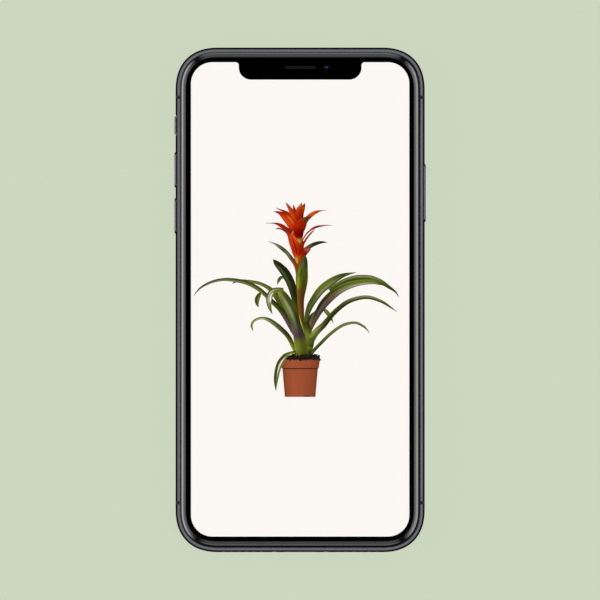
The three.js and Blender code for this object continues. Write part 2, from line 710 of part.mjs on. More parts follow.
function addKeySwitches() {
  const { volume_up_button: up, volume_down_button: down, side_button: side } = CONTROLS;
  add("side_key_switch", keyBracket(1, [side]), plateSteel);
  add("volume_key_switches", keyBracket(-1, [up, down]), plateSteel);
}

// The tray's face follows the band's surface, and its frame holds a card.
function addCardTray() {
  const depth = HALF_WIDTH - TRAY.faceInner + BEYOND;
  const stub = bandArc().concat([[depth, BAND_FRONT], [depth, BAND_BACK]]);
  const surface = sideLength(1, TRAY.y - TRAY.faceLength, TRAY.y + TRAY.faceLength, stub);
  const loop = slotLoop(TRAY.faceLength, TRAY.faceHeight);
  const plug = laidAlongX(slab(loop, TRAY.faceInner, HALF_WIDTH + BEYOND));
  plug.translate(0, TRAY.y, MID_HEIGHT);
  const half = TRAY_FRAME.width / 2;
  const frame = block(
    [TRAY_FRAME.inner, TRAY.y - half, TRAY_TOP - TRAY_FRAME.thickness],
    [TRAY.faceInner + TRAY.tenon, TRAY.y + half, TRAY_TOP],
  );
  const { length, width, corner, rim, depth: seatDepth } = CARD_SEAT;
  const seat = slab(roundedLoop(length, width, corner), -seatDepth, BEYOND);
  seat.translate(CARD_SEAT.x, TRAY.y, TRAY_TOP);
  const openingLoop = roundedLoop(length - 2 * rim, width - 2 * rim, corner);
  const opening = slab(openingLoop, -TRAY_FRAME.thickness - BEYOND, 0);
  opening.translate(CARD_SEAT.x, TRAY.y, TRAY_TOP);
  const ejectLoop = roundLoop(EJECT_HOLE.radius, 10);
  const eject = laidAlongX(slab(ejectLoop, TRAY.faceInner - BEYOND, HALF_WIDTH + BEYOND));
  eject.translate(0, TRAY.y - EJECT_HOLE.offset, MID_HEIGHT);
  const face = common(plug, surface);
  add("card_tray", cut(joined(face, frame), seat, opening, eject), steel);
}

// The sheet-metal cage that the tray slides into, on the logic board.
function addCardReader() {
  const inner = TRAY_FRAME.width / 2 + READER.gap;
  const outer = inner + READER.wall;
  const roof = block(
    [READER.from, TRAY.y - outer, READER.roof],
    [READER.to, TRAY.y + outer, READER.top],
  );
  const wall = (low) =>
    block([READER.from, TRAY.y + low, BOARD.top], [READER.to, TRAY.y + low + READER.wall, READER.top]);
  add("card_reader", joined(roof, wall(inner), wall(-outer)), plateSteel);
}

function addBottomEnd() {
  const mouth = PORT_MOUTH + HALF_LENGTH;
  const back = mouth + PORT_DEPTH;
  const shell = endTool(0, slotLoop(PORT.height, PORT.width), mouth, back);
  const cavityLoop = slotLoop(PORT.innerHeight, PORT.innerWidth);
  const cavity = endTool(0, cavityLoop, mouth - BEYOND, back - PORT_WALL);
  add("charge_port", cut(shell, cavity), plateSteel);
  const tongueRoot = -HALF_LENGTH + back - PORT_WALL;
  const tongue = block(
    [-TONGUE.width / 2, tongueRoot - TONGUE.length, MID_HEIGHT - TONGUE.height / 2],
    [TONGUE.width / 2, tongueRoot, MID_HEIGHT + TONGUE.height / 2],
  );
  add("port_tongue", tongue, blackPlastic);
  for (const [side, screw, mesh] of [
    [-1, "end_screw_left", "microphone_mesh"],
    [1, "end_screw_right", "loudspeaker_mesh"],
  ]) {
    add(screw, endScrew(), plateSteel, [side * END_SCREW.x, 0, 0]);
    const xs = soundHoleXs(side).sort((a, b) => a - b);
    const { margin, height, thickness } = SOUND_MESH;
    const wallInner = -HALF_LENGTH + BAND_WALL;
    const strip = block(
      [xs[0] - margin, wallInner, MID_HEIGHT - height / 2],
      [xs[xs.length - 1] + margin, wallInner + thickness, MID_HEIGHT + height / 2],
    );
    add(mesh, strip, plateSteel);
  }
}

// A screw whose head sits on the step inside its hole, with a six-sided socket.
function endScrew() {
  const { head, socket, seat, tip } = END_SCREW_DEPTHS;
  const cap = endTool(0, roundLoop(END_SCREW.head, 14), head, seat);
  const shaft = endTool(0, roundLoop(END_SCREW.shaft, 12), seat - OVERLAP, tip);
  const recess = endTool(0, roundLoop(END_SCREW.socket, 6), head - OVERLAP, socket);
  return cut(joined(cap, shaft), recess);
}

// Back glass and the camera window let into it.
function addBack() {
  const glass = stack(bodyLoop, fromBack(glassLevels()).reverse());
  const { length, width, gap, recess } = WINDOW;
  const opening = slab(slotLoop(length, width), -BEYOND, PLATE_BOTTOM).translate(0, CAMERA_Y, 0);
  add("back_glass", cut(glass, opening), blackGlass);
  const plate = slab(slotLoop(length - 2 * gap, width - 2 * gap), recess, PLATE_BOTTOM);
  const stepped = (x, radius, step) => [
    slab(roundLoop(radius, 24), -BEYOND, COVER_TOP).translate(x, 0, 0),
    slab(roundLoop(step, 20), 0, PLATE_BOTTOM + BEYOND).translate(x, 0, 0),
  ];
  const mic = slab(roundLoop(REAR_MIC.radius, 8), -BEYOND, PLATE_BOTTOM + BEYOND);
  mic.translate(REAR_MIC.x, 0, 0);
  const window = cut(
    plate,
    ...stepped(-LENS.x, LENS.radius, LENS.step),
    ...stepped(LENS.x, LENS.radius, LENS.step),
    ...stepped(0, FLASH.radius, FLASH.step),
    mic,
  );
  add("camera_window", window, steel, [0, CAMERA_Y, 0]);
  const cover = (radius, sides) => slab(roundLoop(radius - COVER_GAP, sides), COVER_BOTTOM, COVER_TOP);
  add("flash_window", cover(FLASH.radius, 16), flashGlass, [0, CAMERA_Y, 0]);
  const led = slab(roundLoop(FLASH.led, 12), BARREL_BOTTOM, PLATE_TOP + OVERLAP);
  const ledBoardLoop = roundedLoop(FLASH.board, FLASH.board, FLASH.corner);
  const ledBoard = slab(ledBoardLoop, PLATE_TOP, FLASH.boardTop);
  add("flash_unit", joined(led, ledBoard), circuitBoard, [0, CAMERA_Y, 0]);
  for (const [side, word] of [[-1, "left"], [1, "right"]]) {
    const place = [side * LENS.x, CAMERA_Y, 0];
    add(`rear_lens_cover_${word}`, cover(LENS.radius, 24), clearGlass, place);
    const barrel = slab(roundLoop(LENS.barrel, 20), BARREL_BOTTOM, PLATE_TOP + OVERLAP);
    const { size, corner, top } = REAR_CAMERA;
    const body = bevelledSlab(roundedLoop(size, size, corner), PLATE_TOP, top);
    add(`rear_camera_${word}`, joined(barrel, body), blackPlastic, place);
  }
}

function addCoil() {
  const disc = (radius, bottom, top) => slab(roundLoop(radius, COIL.sides), bottom, top);
  const coil = cut(disc(COIL.radius, GLASS_THICKNESS, COIL.top), disc(COIL.hole, 0, COIL.top + BEYOND));
  add("charging_coil", coil, copper);
  add("coil_shield", disc(COIL.radius, COIL.top, COIL.shieldTop), thermalPad);
}

// A part that is a block with round corners, standing on a height.
function addInner(name, size, bottom, look) {
  const { x, y, width, length, top, corner = 1 } = size;
  add(name, bevelledSlab(roundedLoop(width, length, corner), bottom, top), look, [x, y, 0]);
}

function addInside() {
  addInner("battery", BATTERY, PLATE_TOP, pouch);
  addInner("board_pad", { ...BOARD_PAD, top: BOARD.bottom }, PLATE_TOP, thermalPad);
  addInner("processor_shield", PROCESSOR_SHIELD, BOARD.top, plateSteel);
  addInner("radio_shield", RADIO_SHIELD, BOARD.top, plateSteel);
  addInner("loudspeaker_box", LOUDSPEAKER, PLATE_TOP, blackPlastic);
  addInner("vibration_motor", MOTOR, PLATE_TOP, plateSteel);
  const portBottom = MID_HEIGHT - PORT.height / 2;
  addInner("port_board", { ...PORT_BOARD, top: portBottom }, PLATE_TOP, circuitBoard);
  addLogicBoard();
  addCables();
}

// The logic board with a screw at each end of its right edge.
function addLogicBoard() {
  const { x, y, width, length, bottom, top, corner } = BOARD;
  const screwYs = [-1, 1].map((end) => y + end * (length / 2 - BOARD_SCREW.fromEnd));
  const sheet = slab(roundedLoop(width, length, corner), bottom, top).translate(x, y, 0);
  const holeLoop = roundLoop(BOARD_SCREW.hole, 12);
  const holes = screwYs.map((screwY) =>
    slab(holeLoop, bottom - BEYOND, top + BEYOND).translate(BOARD_SCREW.x, screwY, 0),
  );
  add("logic_board", cut(sheet, ...holes), circuitBoard);
  for (const [index, word] of ["lower", "upper"].entries()) {
    const shaft = slab(roundLoop(BOARD_SCREW.shaft, 12), PLATE_TOP, top + OVERLAP);
    const head = slab(roundLoop(BOARD_SCREW.head, 14), top, top + BOARD_SCREW.height);
    add(`board_screw_${word}`, joined(shaft, head), plateSteel, [BOARD_SCREW.x, screwYs[index], 0]);
  }
}

// Flat flexible cables: battery to board, display to board, and port board to logic board.
function addCables() {
  const batterySide = BATTERY.x + BATTERY.width / 2;
  const strapBottom = PROCESSOR_SHIELD.top;
  const strap = block(
    [batterySide, BATTERY_CABLE.from, strapBottom],
    [batterySide + BATTERY_CABLE.reach, BATTERY_CABLE.to, strapBottom + FLEX_THICKNESS],
  );
  add("battery_cable", strap, flexFilm);

  const { left, right, bottom: low, top: high } = DISPLAY_CABLE;
  const leaf = (from, bottom, top) => block([left, from, bottom], [right, high, top]);
  const foot = leaf(low, BOARD.top, BOARD.top + FLEX_THICKNESS);
  const riser = leaf(high - FLEX_THICKNESS, BOARD.top, PANEL_BOTTOM);
  const lip = leaf(low, PANEL_BOTTOM - FLEX_THICKNESS, PANEL_BOTTOM);
  add("display_cable", joined(foot, riser, lip), flexFilm);

  const { left: start, right: end, width, reach, gap } = PORT_CABLE;
  const portEdge = PORT_BOARD.y + PORT_BOARD.length / 2;
  const padEdge = BOARD_PAD.y - BOARD_PAD.length / 2;
  const flexTop = PLATE_TOP + FLEX_THICKNESS;
  const across = block([start, portEdge, PLATE_TOP], [end, portEdge + reach, flexTop]);
  const along = block([end - width, portEdge, PLATE_TOP], [end, padEdge - gap, flexTop]);
  add("port_cable", joined(across, along), flexFilm);
}

addBand();
addMidPlate();
addFront();
addNotchParts();
addButtons();
addRingSwitch();
addKeySwitches();
addCardTray();
addCardReader();
addBottomEnd();
addBack();
addCoil();
addInside();

export default phone;
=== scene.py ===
# %% [markdown]
# # A smartphone with a lit, notched screen
#
# The phone lies on its back on a pale floor, screen up, and the camera looks straight down at it.
# Its solids come packed, in metres: the origin is the middle of the back glass, +X points right,
# +Y towards the earpiece end and +Z out of the screen. This lesson dresses them. It builds finer
# pieces where light shows the shape, such as the half-round band and the curved rim of the glass,
# gives every piece a finish, and draws the picture of a potted plant on the screen.

# %% Load the solids
import math

import bpy
import bmesh
from mathutils import Matrix, Vector


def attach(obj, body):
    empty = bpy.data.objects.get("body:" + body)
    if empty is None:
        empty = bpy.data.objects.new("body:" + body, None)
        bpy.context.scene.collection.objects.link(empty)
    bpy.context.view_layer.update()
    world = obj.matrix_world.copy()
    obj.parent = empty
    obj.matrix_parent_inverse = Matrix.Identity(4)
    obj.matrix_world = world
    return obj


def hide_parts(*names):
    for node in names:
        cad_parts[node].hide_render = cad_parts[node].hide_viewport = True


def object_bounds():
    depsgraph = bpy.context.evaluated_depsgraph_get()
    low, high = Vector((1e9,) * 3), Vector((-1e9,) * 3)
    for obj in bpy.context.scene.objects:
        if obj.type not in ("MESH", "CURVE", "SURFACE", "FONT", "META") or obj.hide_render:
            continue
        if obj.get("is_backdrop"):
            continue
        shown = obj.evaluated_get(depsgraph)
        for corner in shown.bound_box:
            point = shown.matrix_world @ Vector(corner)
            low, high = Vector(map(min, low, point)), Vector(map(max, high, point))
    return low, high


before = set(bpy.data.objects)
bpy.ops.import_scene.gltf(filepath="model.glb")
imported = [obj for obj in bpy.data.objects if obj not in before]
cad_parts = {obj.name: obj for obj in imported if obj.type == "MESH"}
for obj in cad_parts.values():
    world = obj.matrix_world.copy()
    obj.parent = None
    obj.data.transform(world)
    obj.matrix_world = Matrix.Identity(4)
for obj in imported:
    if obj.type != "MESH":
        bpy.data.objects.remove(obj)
solid_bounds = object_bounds()
scene = bpy.context.scene
MM = 0.001

# %% [markdown]
# ## Camera
#
# The phone is seen face on, with no side of it showing, so the camera stands straight above and
# has a very long lens. A short lens would show more of the band on the outside than on the inside,
# and would bend the outline. One pixel of the picture is 0.285 mm on the phone, which sets the
# camera's height.

# %% Camera straight above the phone
PIXELS = 600
PIXELS_PER_MM = 3.514
SENSOR = 36.0
LENS_LENGTH = 1200.0
SEEN_HEIGHT = 3.85
seen_width = PIXELS / PIXELS_PER_MM * MM
camera_data = bpy.data.cameras.new("camera")
camera_data.sensor_width = SENSOR
camera_data.lens = LENS_LENGTH
camera_data.clip_end = 20
camera = bpy.data.objects.new("camera", camera_data)
camera_height = seen_width * LENS_LENGTH / SENSOR + SEEN_HEIGHT * MM
camera.location = (-0.04 * MM, -0.04 * MM, camera_height)
scene.collection.objects.link(camera)
scene.camera = camera
scene.view_settings.view_transform = "Standard"
print(f"camera {camera_height:.3f} m up sees {seen_width / MM:.1f} mm across")

# %% [markdown]
# ## Writing node trees as code
#
# Finishes and repeated shapes are both node trees. A small class keeps them readable: `node` adds
# any node, given its type, its settings and what goes into its sockets, and what it gives back can
# be used in sums, which add Math nodes by themselves.

# %% A socket that does sums, and a tree that adds nodes


def operator(operation, swapped=False):
    """A Math node as an operator between two sockets, or between a socket and a number."""
    def applied(self, other=0.0):
        first, second = (other, self) if swapped else (self, other)
        return self.tree.maths(operation, first, second)

    return applied


class Socket:
    """The output of a node, to use in another node or in a sum."""

    __add__ = __radd__ = operator("ADD")
    __mul__ = __rmul__ = operator("MULTIPLY")
    __sub__ = operator("SUBTRACT")
    __rsub__ = operator("SUBTRACT", swapped=True)
    __truediv__ = operator("DIVIDE")
    __pow__ = operator("POWER")
    __lt__ = operator("LESS_THAN")
    __abs__ = operator("ABSOLUTE")

    def __init__(self, tree, output):
        self.tree = tree
        self.output = output


class Tree:
    """A node tree, for a finish or for a shape."""

    def __init__(self, nodes):
        self.nodes = nodes

    def node(self, kind, sockets=None, settings=None, output=0):
        made = self.nodes.nodes.new(kind)
        for name, value in (settings or {}).items():
            if name == "stops":
                set_stops(made.color_ramp, value)
            else:
                setattr(made, name, value)
        for name, value in (sockets or {}).items():
            self.feed(made.inputs[name], value)
        return Socket(self, made.outputs[output])

    def feed(self, socket, value):
        if isinstance(value, Socket):
            self.nodes.links.new(value.output, socket)
        else:
            socket.default_value = value

    def maths(self, operation, first, second=0.0):
        return self.node("ShaderNodeMath", {0: first, 1: second}, {"operation": operation})

    def smooth(self, value, low, high):
        """0 below low, 1 above high, and a soft step between."""
        sockets = {"Value": value, "From Min": low, "From Max": high}
        return self.node("ShaderNodeMapRange", sockets, {"interpolation_type": "SMOOTHSTEP"})

    def parts(self, vector):
        split = self.node("ShaderNodeSeparateXYZ", {"Vector": vector})
        outputs = split.output.node.outputs
        return [Socket(self, outputs[axis]) for axis in "XYZ"]

    def vector(self, x, y, z):
        return self.node("ShaderNodeCombineXYZ", {"X": x, "Y": y, "Z": z})


def set_stops(ramp, stops):
    while len(ramp.elements) > 1:
        ramp.elements.remove(ramp.elements[-1])
    for index, (position, colour) in enumerate(stops):
        stop = ramp.elements[0] if index == 0 else ramp.elements.new(position)
        stop.position = position
        stop.color = (*colour, 1) if len(colour) == 3 else colour


print("sums and trees are ready")

# %% [markdown]
# ## Light and floor
#
# A polished phone is only as good as what it mirrors. Its flat glass mirrors what is straight above,
# which has to be dark, or the black border turns grey. Its curved rim mirrors the sides, from 10 to
# 75 degrees up, so a bright soft wall stands left and right, brightest low down, and a dimmer one
# beyond each end. The band is half round and mirrors mostly the floor. All of this fits in one dome
# of light that changes with direction, which never stands in the way of the camera. Its lower half
# is pale, and the floor lets the light through from below, so that the back can be seen as well. The
# floor lies a little under the phone, because two faces at one height would flicker.

# %% Dome of light
LEFT_WALL = [
    (0.0, 0.004), (0.18, 0.004), (0.27, 0.2), (0.37, 0.88), (0.45, 0.95), (0.54, 0.66), (0.65, 0.37),
    (0.81, 0.2), (0.92, 0.17), (0.948, 0.05), (0.956, 0.0005), (1.0, 0.0005),
]
RIGHT_WALL = [
    (0.0, 0.004), (0.32, 0.004), (0.42, 0.2), (0.5, 0.6), (0.7, 0.6), (0.85, 0.29), (0.94, 0.2),
    (0.965, 0.14), (0.983, 0.05), (0.988, 0.0005), (1.0, 0.0005),
]
TOP_WALL = [
    (0.0, 0.04), (0.1, 0.06), (0.2, 0.3), (0.44, 0.2), (0.65, 0.11), (0.8, 0.16), (0.92, 0.03),
    (0.955, 0.0005), (1.0, 0.0005),
]
BOTTOM_WALL = [
    (0.0, 0.004), (0.34, 0.004), (0.44, 0.05), (0.52, 0.23), (0.57, 0.23), (0.73, 0.125), (0.864, 0.11),
    (0.955, 0.12), (0.983, 0.08), (0.988, 0.0005), (1.0, 0.0005),
]
CORNER_GLOW = 0.01
SIDE_EDGE = (0.52, 0.94)
END_EDGE = (0.88, 0.995)
MEETING = (-0.2, 0.2)
WALL_RADIANCE = 1.42
BACKDROP = (0.610, 0.686, 0.527)

world = bpy.data.worlds.new("dome of light")
world.use_nodes = True
scene.world = world
sky = Tree(world.node_tree)
direction = sky.node("ShaderNodeTexCoord", output="Generated")
east, north, up = sky.parts(direction)
level = (east ** 2 + north ** 2) ** 0.5 + 0.0001
sideways = sky.smooth(abs(east) / level, *SIDE_EDGE)
endways = sky.smooth(abs(north) / level, *END_EDGE)
eastward = sky.smooth(east / level, *MEETING)
northward = sky.smooth(north / level, *MEETING)


def wall(heights):
    stops = [(place, (glow, glow, glow)) for place, glow in heights]
    return sky.node("ShaderNodeValToRGB", {"Fac": up}, {"stops": stops})


def blended(first, second, share):
    return sky.node("ShaderNodeMix", {0: share, 6: first, 7: second}, {"data_type": "RGBA"}, 2)


ends = blended(wall(BOTTOM_WALL), wall(TOP_WALL), northward)
sides = blended(wall(LEFT_WALL), wall(RIGHT_WALL), eastward)
gap = (CORNER_GLOW, CORNER_GLOW, CORNER_GLOW, 1.0)
dome = blended(blended(gap, ends, endways), sides, sideways)
ground = tuple(part / WALL_RADIANCE for part in BACKDROP) + (1.0,)
dome = blended(dome, ground, up < 0)
background = world.node_tree.nodes["Background"]
sky.feed(background.inputs["Color"], dome)
background.inputs["Strength"].default_value = WALL_RADIANCE
print("the dome is", WALL_RADIANCE, "at its brightest")

# %% Pale floor
FLOOR_SIZE = 6.0
FLOOR_GAP = 0.02
FLOOR_LIGHT = 0.28
FLOOR_GLOW = 0.94
BLACK = (0.0, 0.0, 0.0, 1.0)


class Finish(Tree):
    """A material with one Principled shader, whose plain values are set on its own sockets."""

    def __init__(self, name, **values):
        self.material = bpy.data.materials.new(name)
        self.material.use_nodes = True
        super().__init__(self.material.node_tree)
        self.shader = self.material.node_tree.nodes["Principled BSDF"]
        for socket, value in values.items():
            self.shader.inputs[socket.replace("_", " ")].default_value = value

    def paint(self, **sockets):
        for name, value in sockets.items():
            self.feed(self.shader.inputs[name.replace("_", " ")], value)
        return self

    def place(self):
        return self.node("ShaderNodeTexCoord", output="Object")

    def stretched(self, vector, scale):
        return self.node("ShaderNodeMapping", {"Vector": vector, "Scale": scale})

    def noise(self, vector, per_metre, detail=2.0):
        return self.node("ShaderNodeTexNoise", {"Vector": vector, "Scale": per_metre, "Detail": detail})

    def mix(self, first, second, share):
        sockets = {0: share, 6: rgba(first), 7: rgba(second)}
        return self.node("ShaderNodeMix", sockets, {"data_type": "RGBA"}, 2)

    def read(self, attribute, output="Fac"):
        return self.node("ShaderNodeAttribute", {}, {"attribute_name": attribute}, output)

    def scaled(self, colour, light):
        return self.node("ShaderNodeVectorMath", {0: colour, "Scale": light}, {"operation": "SCALE"})

    def waves(self, distance, pitch):
        """From -1 to 1 and back in every pitch."""
        return self.maths("SINE", distance * (2 * math.pi / pitch))

    def bump(self, height, strength, depth):
        return self.node("ShaderNodeBump", {"Height": height, "Strength": strength, "Distance": depth})


def rgba(colour):
    return colour if isinstance(colour, Socket) or len(colour) == 4 else (*colour, 1.0)


def grained(name, light, dark, per_metre, roughness, spread, detail=2.0, relief=None, **values):
    """A finish with one fine grain, which varies its tone, its roughness and its relief."""
    finish = Finish(name, **values)
    grain = finish.noise(finish.place(), per_metre, detail)
    if relief:
        finish.paint(Normal=finish.bump(grain, *relief))
    return finish.paint(Base_Color=finish.mix(light, dark, grain), Roughness=roughness + spread * grain)


floor_finish = Finish("pale floor", Roughness=0.9, Specular_IOR_Level=0.0)
speckle = floor_finish.noise(floor_finish.place(), 300.0)
floor_finish.shader.inputs["Emission Strength"].default_value = FLOOR_GLOW
matt = [(1 - FLOOR_GLOW) / FLOOR_LIGHT * part for part in BACKDROP]
floor_finish.paint(
    Base_Color=floor_finish.mix(matt, [0.97 * part for part in matt], speckle),
    Emission_Color=floor_finish.mix(BACKDROP, [0.995 * part for part in BACKDROP], speckle),
)
from_below = floor_finish.node("ShaderNodeNewGeometry", output="Backfacing")
seen_through = floor_finish.node("ShaderNodeBsdfTransparent")
seen_from_above = Socket(floor_finish, floor_finish.shader.outputs["BSDF"])
sides_of_it = floor_finish.node("ShaderNodeMixShader", {0: from_below, 1: seen_from_above, 2: seen_through})
floor_output = floor_finish.material.node_tree.nodes["Material Output"]
floor_finish.feed(floor_output.inputs["Surface"], sides_of_it)
floor_mesh = bpy.data.meshes.new("floor")
edge = FLOOR_SIZE / 2
floor_plan = [(-edge, -edge), (edge, -edge), (edge, edge), (-edge, edge)]
floor_mesh.from_pydata([(*corner, -FLOOR_GAP * MM) for corner in floor_plan], [], [(0, 1, 2, 3)])
floor_mesh.materials.append(floor_finish.material)
floor = bpy.data.objects.new("floor", floor_mesh)
scene.collection.objects.link(floor)
floor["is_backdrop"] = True
print("floor", FLOOR_SIZE, "m square")

# %% [markdown]
# ## The outline that everything follows
#
# The phone's corners aren't round arcs. They are superellipse quarters, which leave the straight
# sides gently and turn fastest in the middle, as a moulded product's corners do. Two driving sizes
# give them: how far a corner reaches along the side, and its power. The same outline, moved in by
# an inset along its normals, gives the band, the gaskets and both glasses.

# %% Outline of the body
LENGTH = 143.6
WIDTH = 70.9
THICKNESS = 7.7
CORNER_REACH = 12.5
CORNER_POWER = 2.39
CORNER_STEPS = 28
STRAIGHT_STEP = 1.0
HALF_LENGTH = LENGTH / 2
HALF_WIDTH = WIDTH / 2
MID_HEIGHT = THICKNESS / 2


def quarter_turned(point, quarters):
    x, y = point
    return [(x, y), (-y, x), (-x, -y), (y, -x)][quarters]


def corner_station(corner, step):
    """A point of the outline's corner and its outward normal; corner 0 is at +X, +Y."""
    angle = math.pi / 2 * step / CORNER_STEPS
    parts = max(math.cos(angle), 0.0), math.sin(angle)
    x, y = quarter_turned([CORNER_REACH * part ** (2 / CORNER_POWER) for part in parts], corner)
    slopes = [part ** (2 - 2 / CORNER_POWER) for part in parts]
    normal = Vector(quarter_turned(slopes, corner)).normalized()
    right = 1 if corner in (0, 3) else -1
    up = 1 if corner < 2 else -1
    middle = Vector((right * (HALF_WIDTH - CORNER_REACH), up * (HALF_LENGTH - CORNER_REACH)))
    return middle + Vector((x, y)), normal


def straight_run(start, end):
    """The stations between two stations of a straight side, without them."""
    (first, normal), (last, _) = start, end
    steps = max(1, round((last - first).length / STRAIGHT_STEP))
    return [(first.lerp(last, step / steps), normal) for step in range(1, steps)]


def stations_through(stations, closed=False):
    """The stations with their straight runs filled in."""
    filled = []
    pairs = list(zip(stations, stations[1:] + stations[:1] if closed else stations[1:]))
    for start, end in pairs:
        filled.append(start)
        if (end[0] - start[0]).length > 2 * STRAIGHT_STEP:
            filled.extend(straight_run(start, end))
    return filled if closed else filled + [stations[-1]]


corners = [[corner_station(corner, step) for step in range(CORNER_STEPS + 1)] for corner in range(4)]
whole_outline = stations_through(sum(corners, []), closed=True)


def outline(inset):
    return [point - inset * normal for point, normal in whole_outline]


print(len(whole_outline), "points round the body")

# %% [markdown]
# ## Loops and walls
#
# Many parts of a phone are a plan shape with walls: a button is a pill, a shield is a rectangle
# with round corners, a lens is a circle. A loop is a function that gives the plan's points, shrunk
# by an inset. Walls join the same loop at several heights, so a bevel or a dome is only a list of
# insets and heights.

# %% Plan shapes, and walls through them


def round_loop(radius, sides=48):
    def loop(inset):
        reach = radius - inset
        turns = [2 * math.pi * side / sides for side in range(sides)]
        return [Vector((reach * math.cos(turn), reach * math.sin(turn))) for turn in turns]

    return loop


def rounded_loop(width, length, radius, steps=8):
    def loop(inset):
        points = []
        for corner, (right, up) in enumerate([(1, 1), (-1, 1), (-1, -1), (1, -1)]):
            middle = Vector((right * (width / 2 - radius), up * (length / 2 - radius)))
            for step in range(steps + 1):
                turn = math.pi / 2 * (corner + step / steps)
                points.append(middle + (radius - inset) * Vector((math.cos(turn), math.sin(turn))))
        return points

    return loop


def pill_loop(width, length, steps=16):
    radius = min(width, length) / 2
    return rounded_loop(width, length, radius - 1e-4, steps)


def walls(loop, levels):
    """A closed shape through a loop at rising heights, as points and faces, in millimetres."""
    rows = [[(*point, height) for point in loop(inset)] for inset, height in levels]
    count = len(rows[0])
    faces = [tuple(reversed(range(count)))]
    for row in range(len(rows) - 1):
        for column in range(count):
            near, after = row * count + column, row * count + (column + 1) % count
            faces.append((near, after, after + count, near + count))
    faces.append(tuple(range((len(rows) - 1) * count, len(rows) * count)))
    return sum(rows, []), faces


def shaped(loop, levels, turn=None, shift=(0, 0, 0)):
    """Walls as a mesh in metres, turned and moved to its place."""
    points, faces = walls(loop, levels)
    mesh = bpy.data.meshes.new("walls")
    mesh.from_pydata([Vector(point) * MM for point in points], [], faces)
    if turn:
        mesh.transform(turn)
    mesh.transform(Matrix.Translation(Vector(shift) * MM))
    return mesh


def slab(loop, low, high, inset=0.0, shift=(0, 0, 0)):
    """Straight walls on a loop, from one height to another."""
    return shaped(loop, [(inset, low), (inset, high)], shift=shift)


# A shape laid along X has its own x along the phone and its own y upright; along Y, its x is upright.
ALONG_X = Matrix(((0, 0, 1, 0), (1, 0, 0, 0), (0, 1, 0, 0), (0, 0, 0, 1)))
ALONG_Y = Matrix(((0, 1, 0, 0), (0, 0, 1, 0), (1, 0, 0, 0), (0, 0, 0, 1)))
FACING_LEFT = Matrix.Rotation(math.pi, 4, "Z")
print("plan shapes are ready")

# %% Temporary objects, cuts, and finished pieces
SHARP = math.radians(28)


def temporary(name, data):
    made = bpy.data.objects.new(name, data)
    scene.collection.objects.link(made)
    return made


def baked_mesh(made):
    """The plain mesh of an object with its modifiers done; the object goes."""
    graph = bpy.context.evaluated_depsgraph_get()
    mesh = bpy.data.meshes.new_from_object(made.evaluated_get(graph))
    bpy.data.objects.remove(made)
    return mesh


def carved(mesh, *tools, operation="DIFFERENCE"):
    block = temporary("block", mesh)
    cutters = [temporary("tool", tool) for tool in tools]
    for cutter in cutters:
        cut = block.modifiers.new("cut", "BOOLEAN")
        cut.solver = "EXACT"
        cut.operation = operation
        cut.object = cutter
    result = baked_mesh(block)
    for cutter in cutters:
        bpy.data.objects.remove(cutter)
    return result


def together(*meshes):
    joint = bmesh.new()
    for mesh in meshes:
        joint.from_mesh(mesh)
    result = bpy.data.meshes.new("together")
    joint.to_mesh(result)
    joint.free()
    return result


def piece(name, mesh, finish, body="phone", instead_of=None, sharp=SHARP):
    """A finished piece: outward faces, smooth where it is round, riding on its body."""
    shape = bmesh.new()
    shape.from_mesh(mesh)
    bmesh.ops.remove_doubles(shape, verts=shape.verts, dist=1e-7)
    bmesh.ops.recalc_face_normals(shape, faces=shape.faces)
    shape.to_mesh(mesh)
    shape.free()
    mesh.name = name
    mesh.polygons.foreach_set("use_smooth", [True] * len(mesh.polygons))
    mesh.set_sharp_from_angle(angle=sharp)
    mesh.materials.clear()
    mesh.materials.append(finish.material)
    made = temporary(name, mesh)
    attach(made, body)
    if instead_of:
        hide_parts(instead_of)
    return made


# %% [markdown]
# ## Growing shapes with Geometry Nodes
#
# A band, a gasket and a leaf in the picture are all one section carried along a path. Geometry
# Nodes do that with Curve to Mesh, and do the rows of wires, holes and contacts with instances. A
# tree names its inputs, so the same tree makes every piece of its kind. Its modifier sits on an
# empty mesh, is set by each socket's identifier, and its result is turned into a plain mesh.

# %% A shape tree with named inputs, and how to grow it
KINDS = {
    "number": "NodeSocketFloat", "whole": "NodeSocketInt", "yes": "NodeSocketBool",
    "thing": "NodeSocketObject", "finish": "NodeSocketMaterial", "place": "NodeSocketVector",
}


class Shape(Tree):
    """A Geometry Nodes tree. Its inputs are named, and done() ends it."""

    def __init__(self, name):
        super().__init__(bpy.data.node_groups.new(name, "GeometryNodeTree"))
        self.face = self.nodes.interface
        self.face.new_socket("Geometry", in_out="INPUT", socket_type="NodeSocketGeometry")
        self.face.new_socket("Geometry", in_out="OUTPUT", socket_type="NodeSocketGeometry")
        self.entry = self.nodes.nodes.new("NodeGroupInput")

    def input(self, name, kind):
        self.face.new_socket(name, in_out="INPUT", socket_type=KINDS[kind])
        return Socket(self, self.entry.outputs[name])

    def start(self):
        return Socket(self, self.entry.outputs["Geometry"])

    def thing(self, name):
        """The shape of another object, which is an input of its own."""
        return self.node("GeometryNodeObjectInfo", {"Object": self.input(name, "thing")}, output="Geometry")

    def done(self, geometry):
        real = self.node("GeometryNodeRealizeInstances", {"Geometry": geometry})
        sockets = {"Geometry": real, "Material": self.input("Finish", "finish")}
        painted = self.node("GeometryNodeSetMaterial", sockets)
        leave = self.nodes.nodes.new("NodeGroupOutput")
        self.feed(leave.inputs["Geometry"], painted)
        return self.nodes


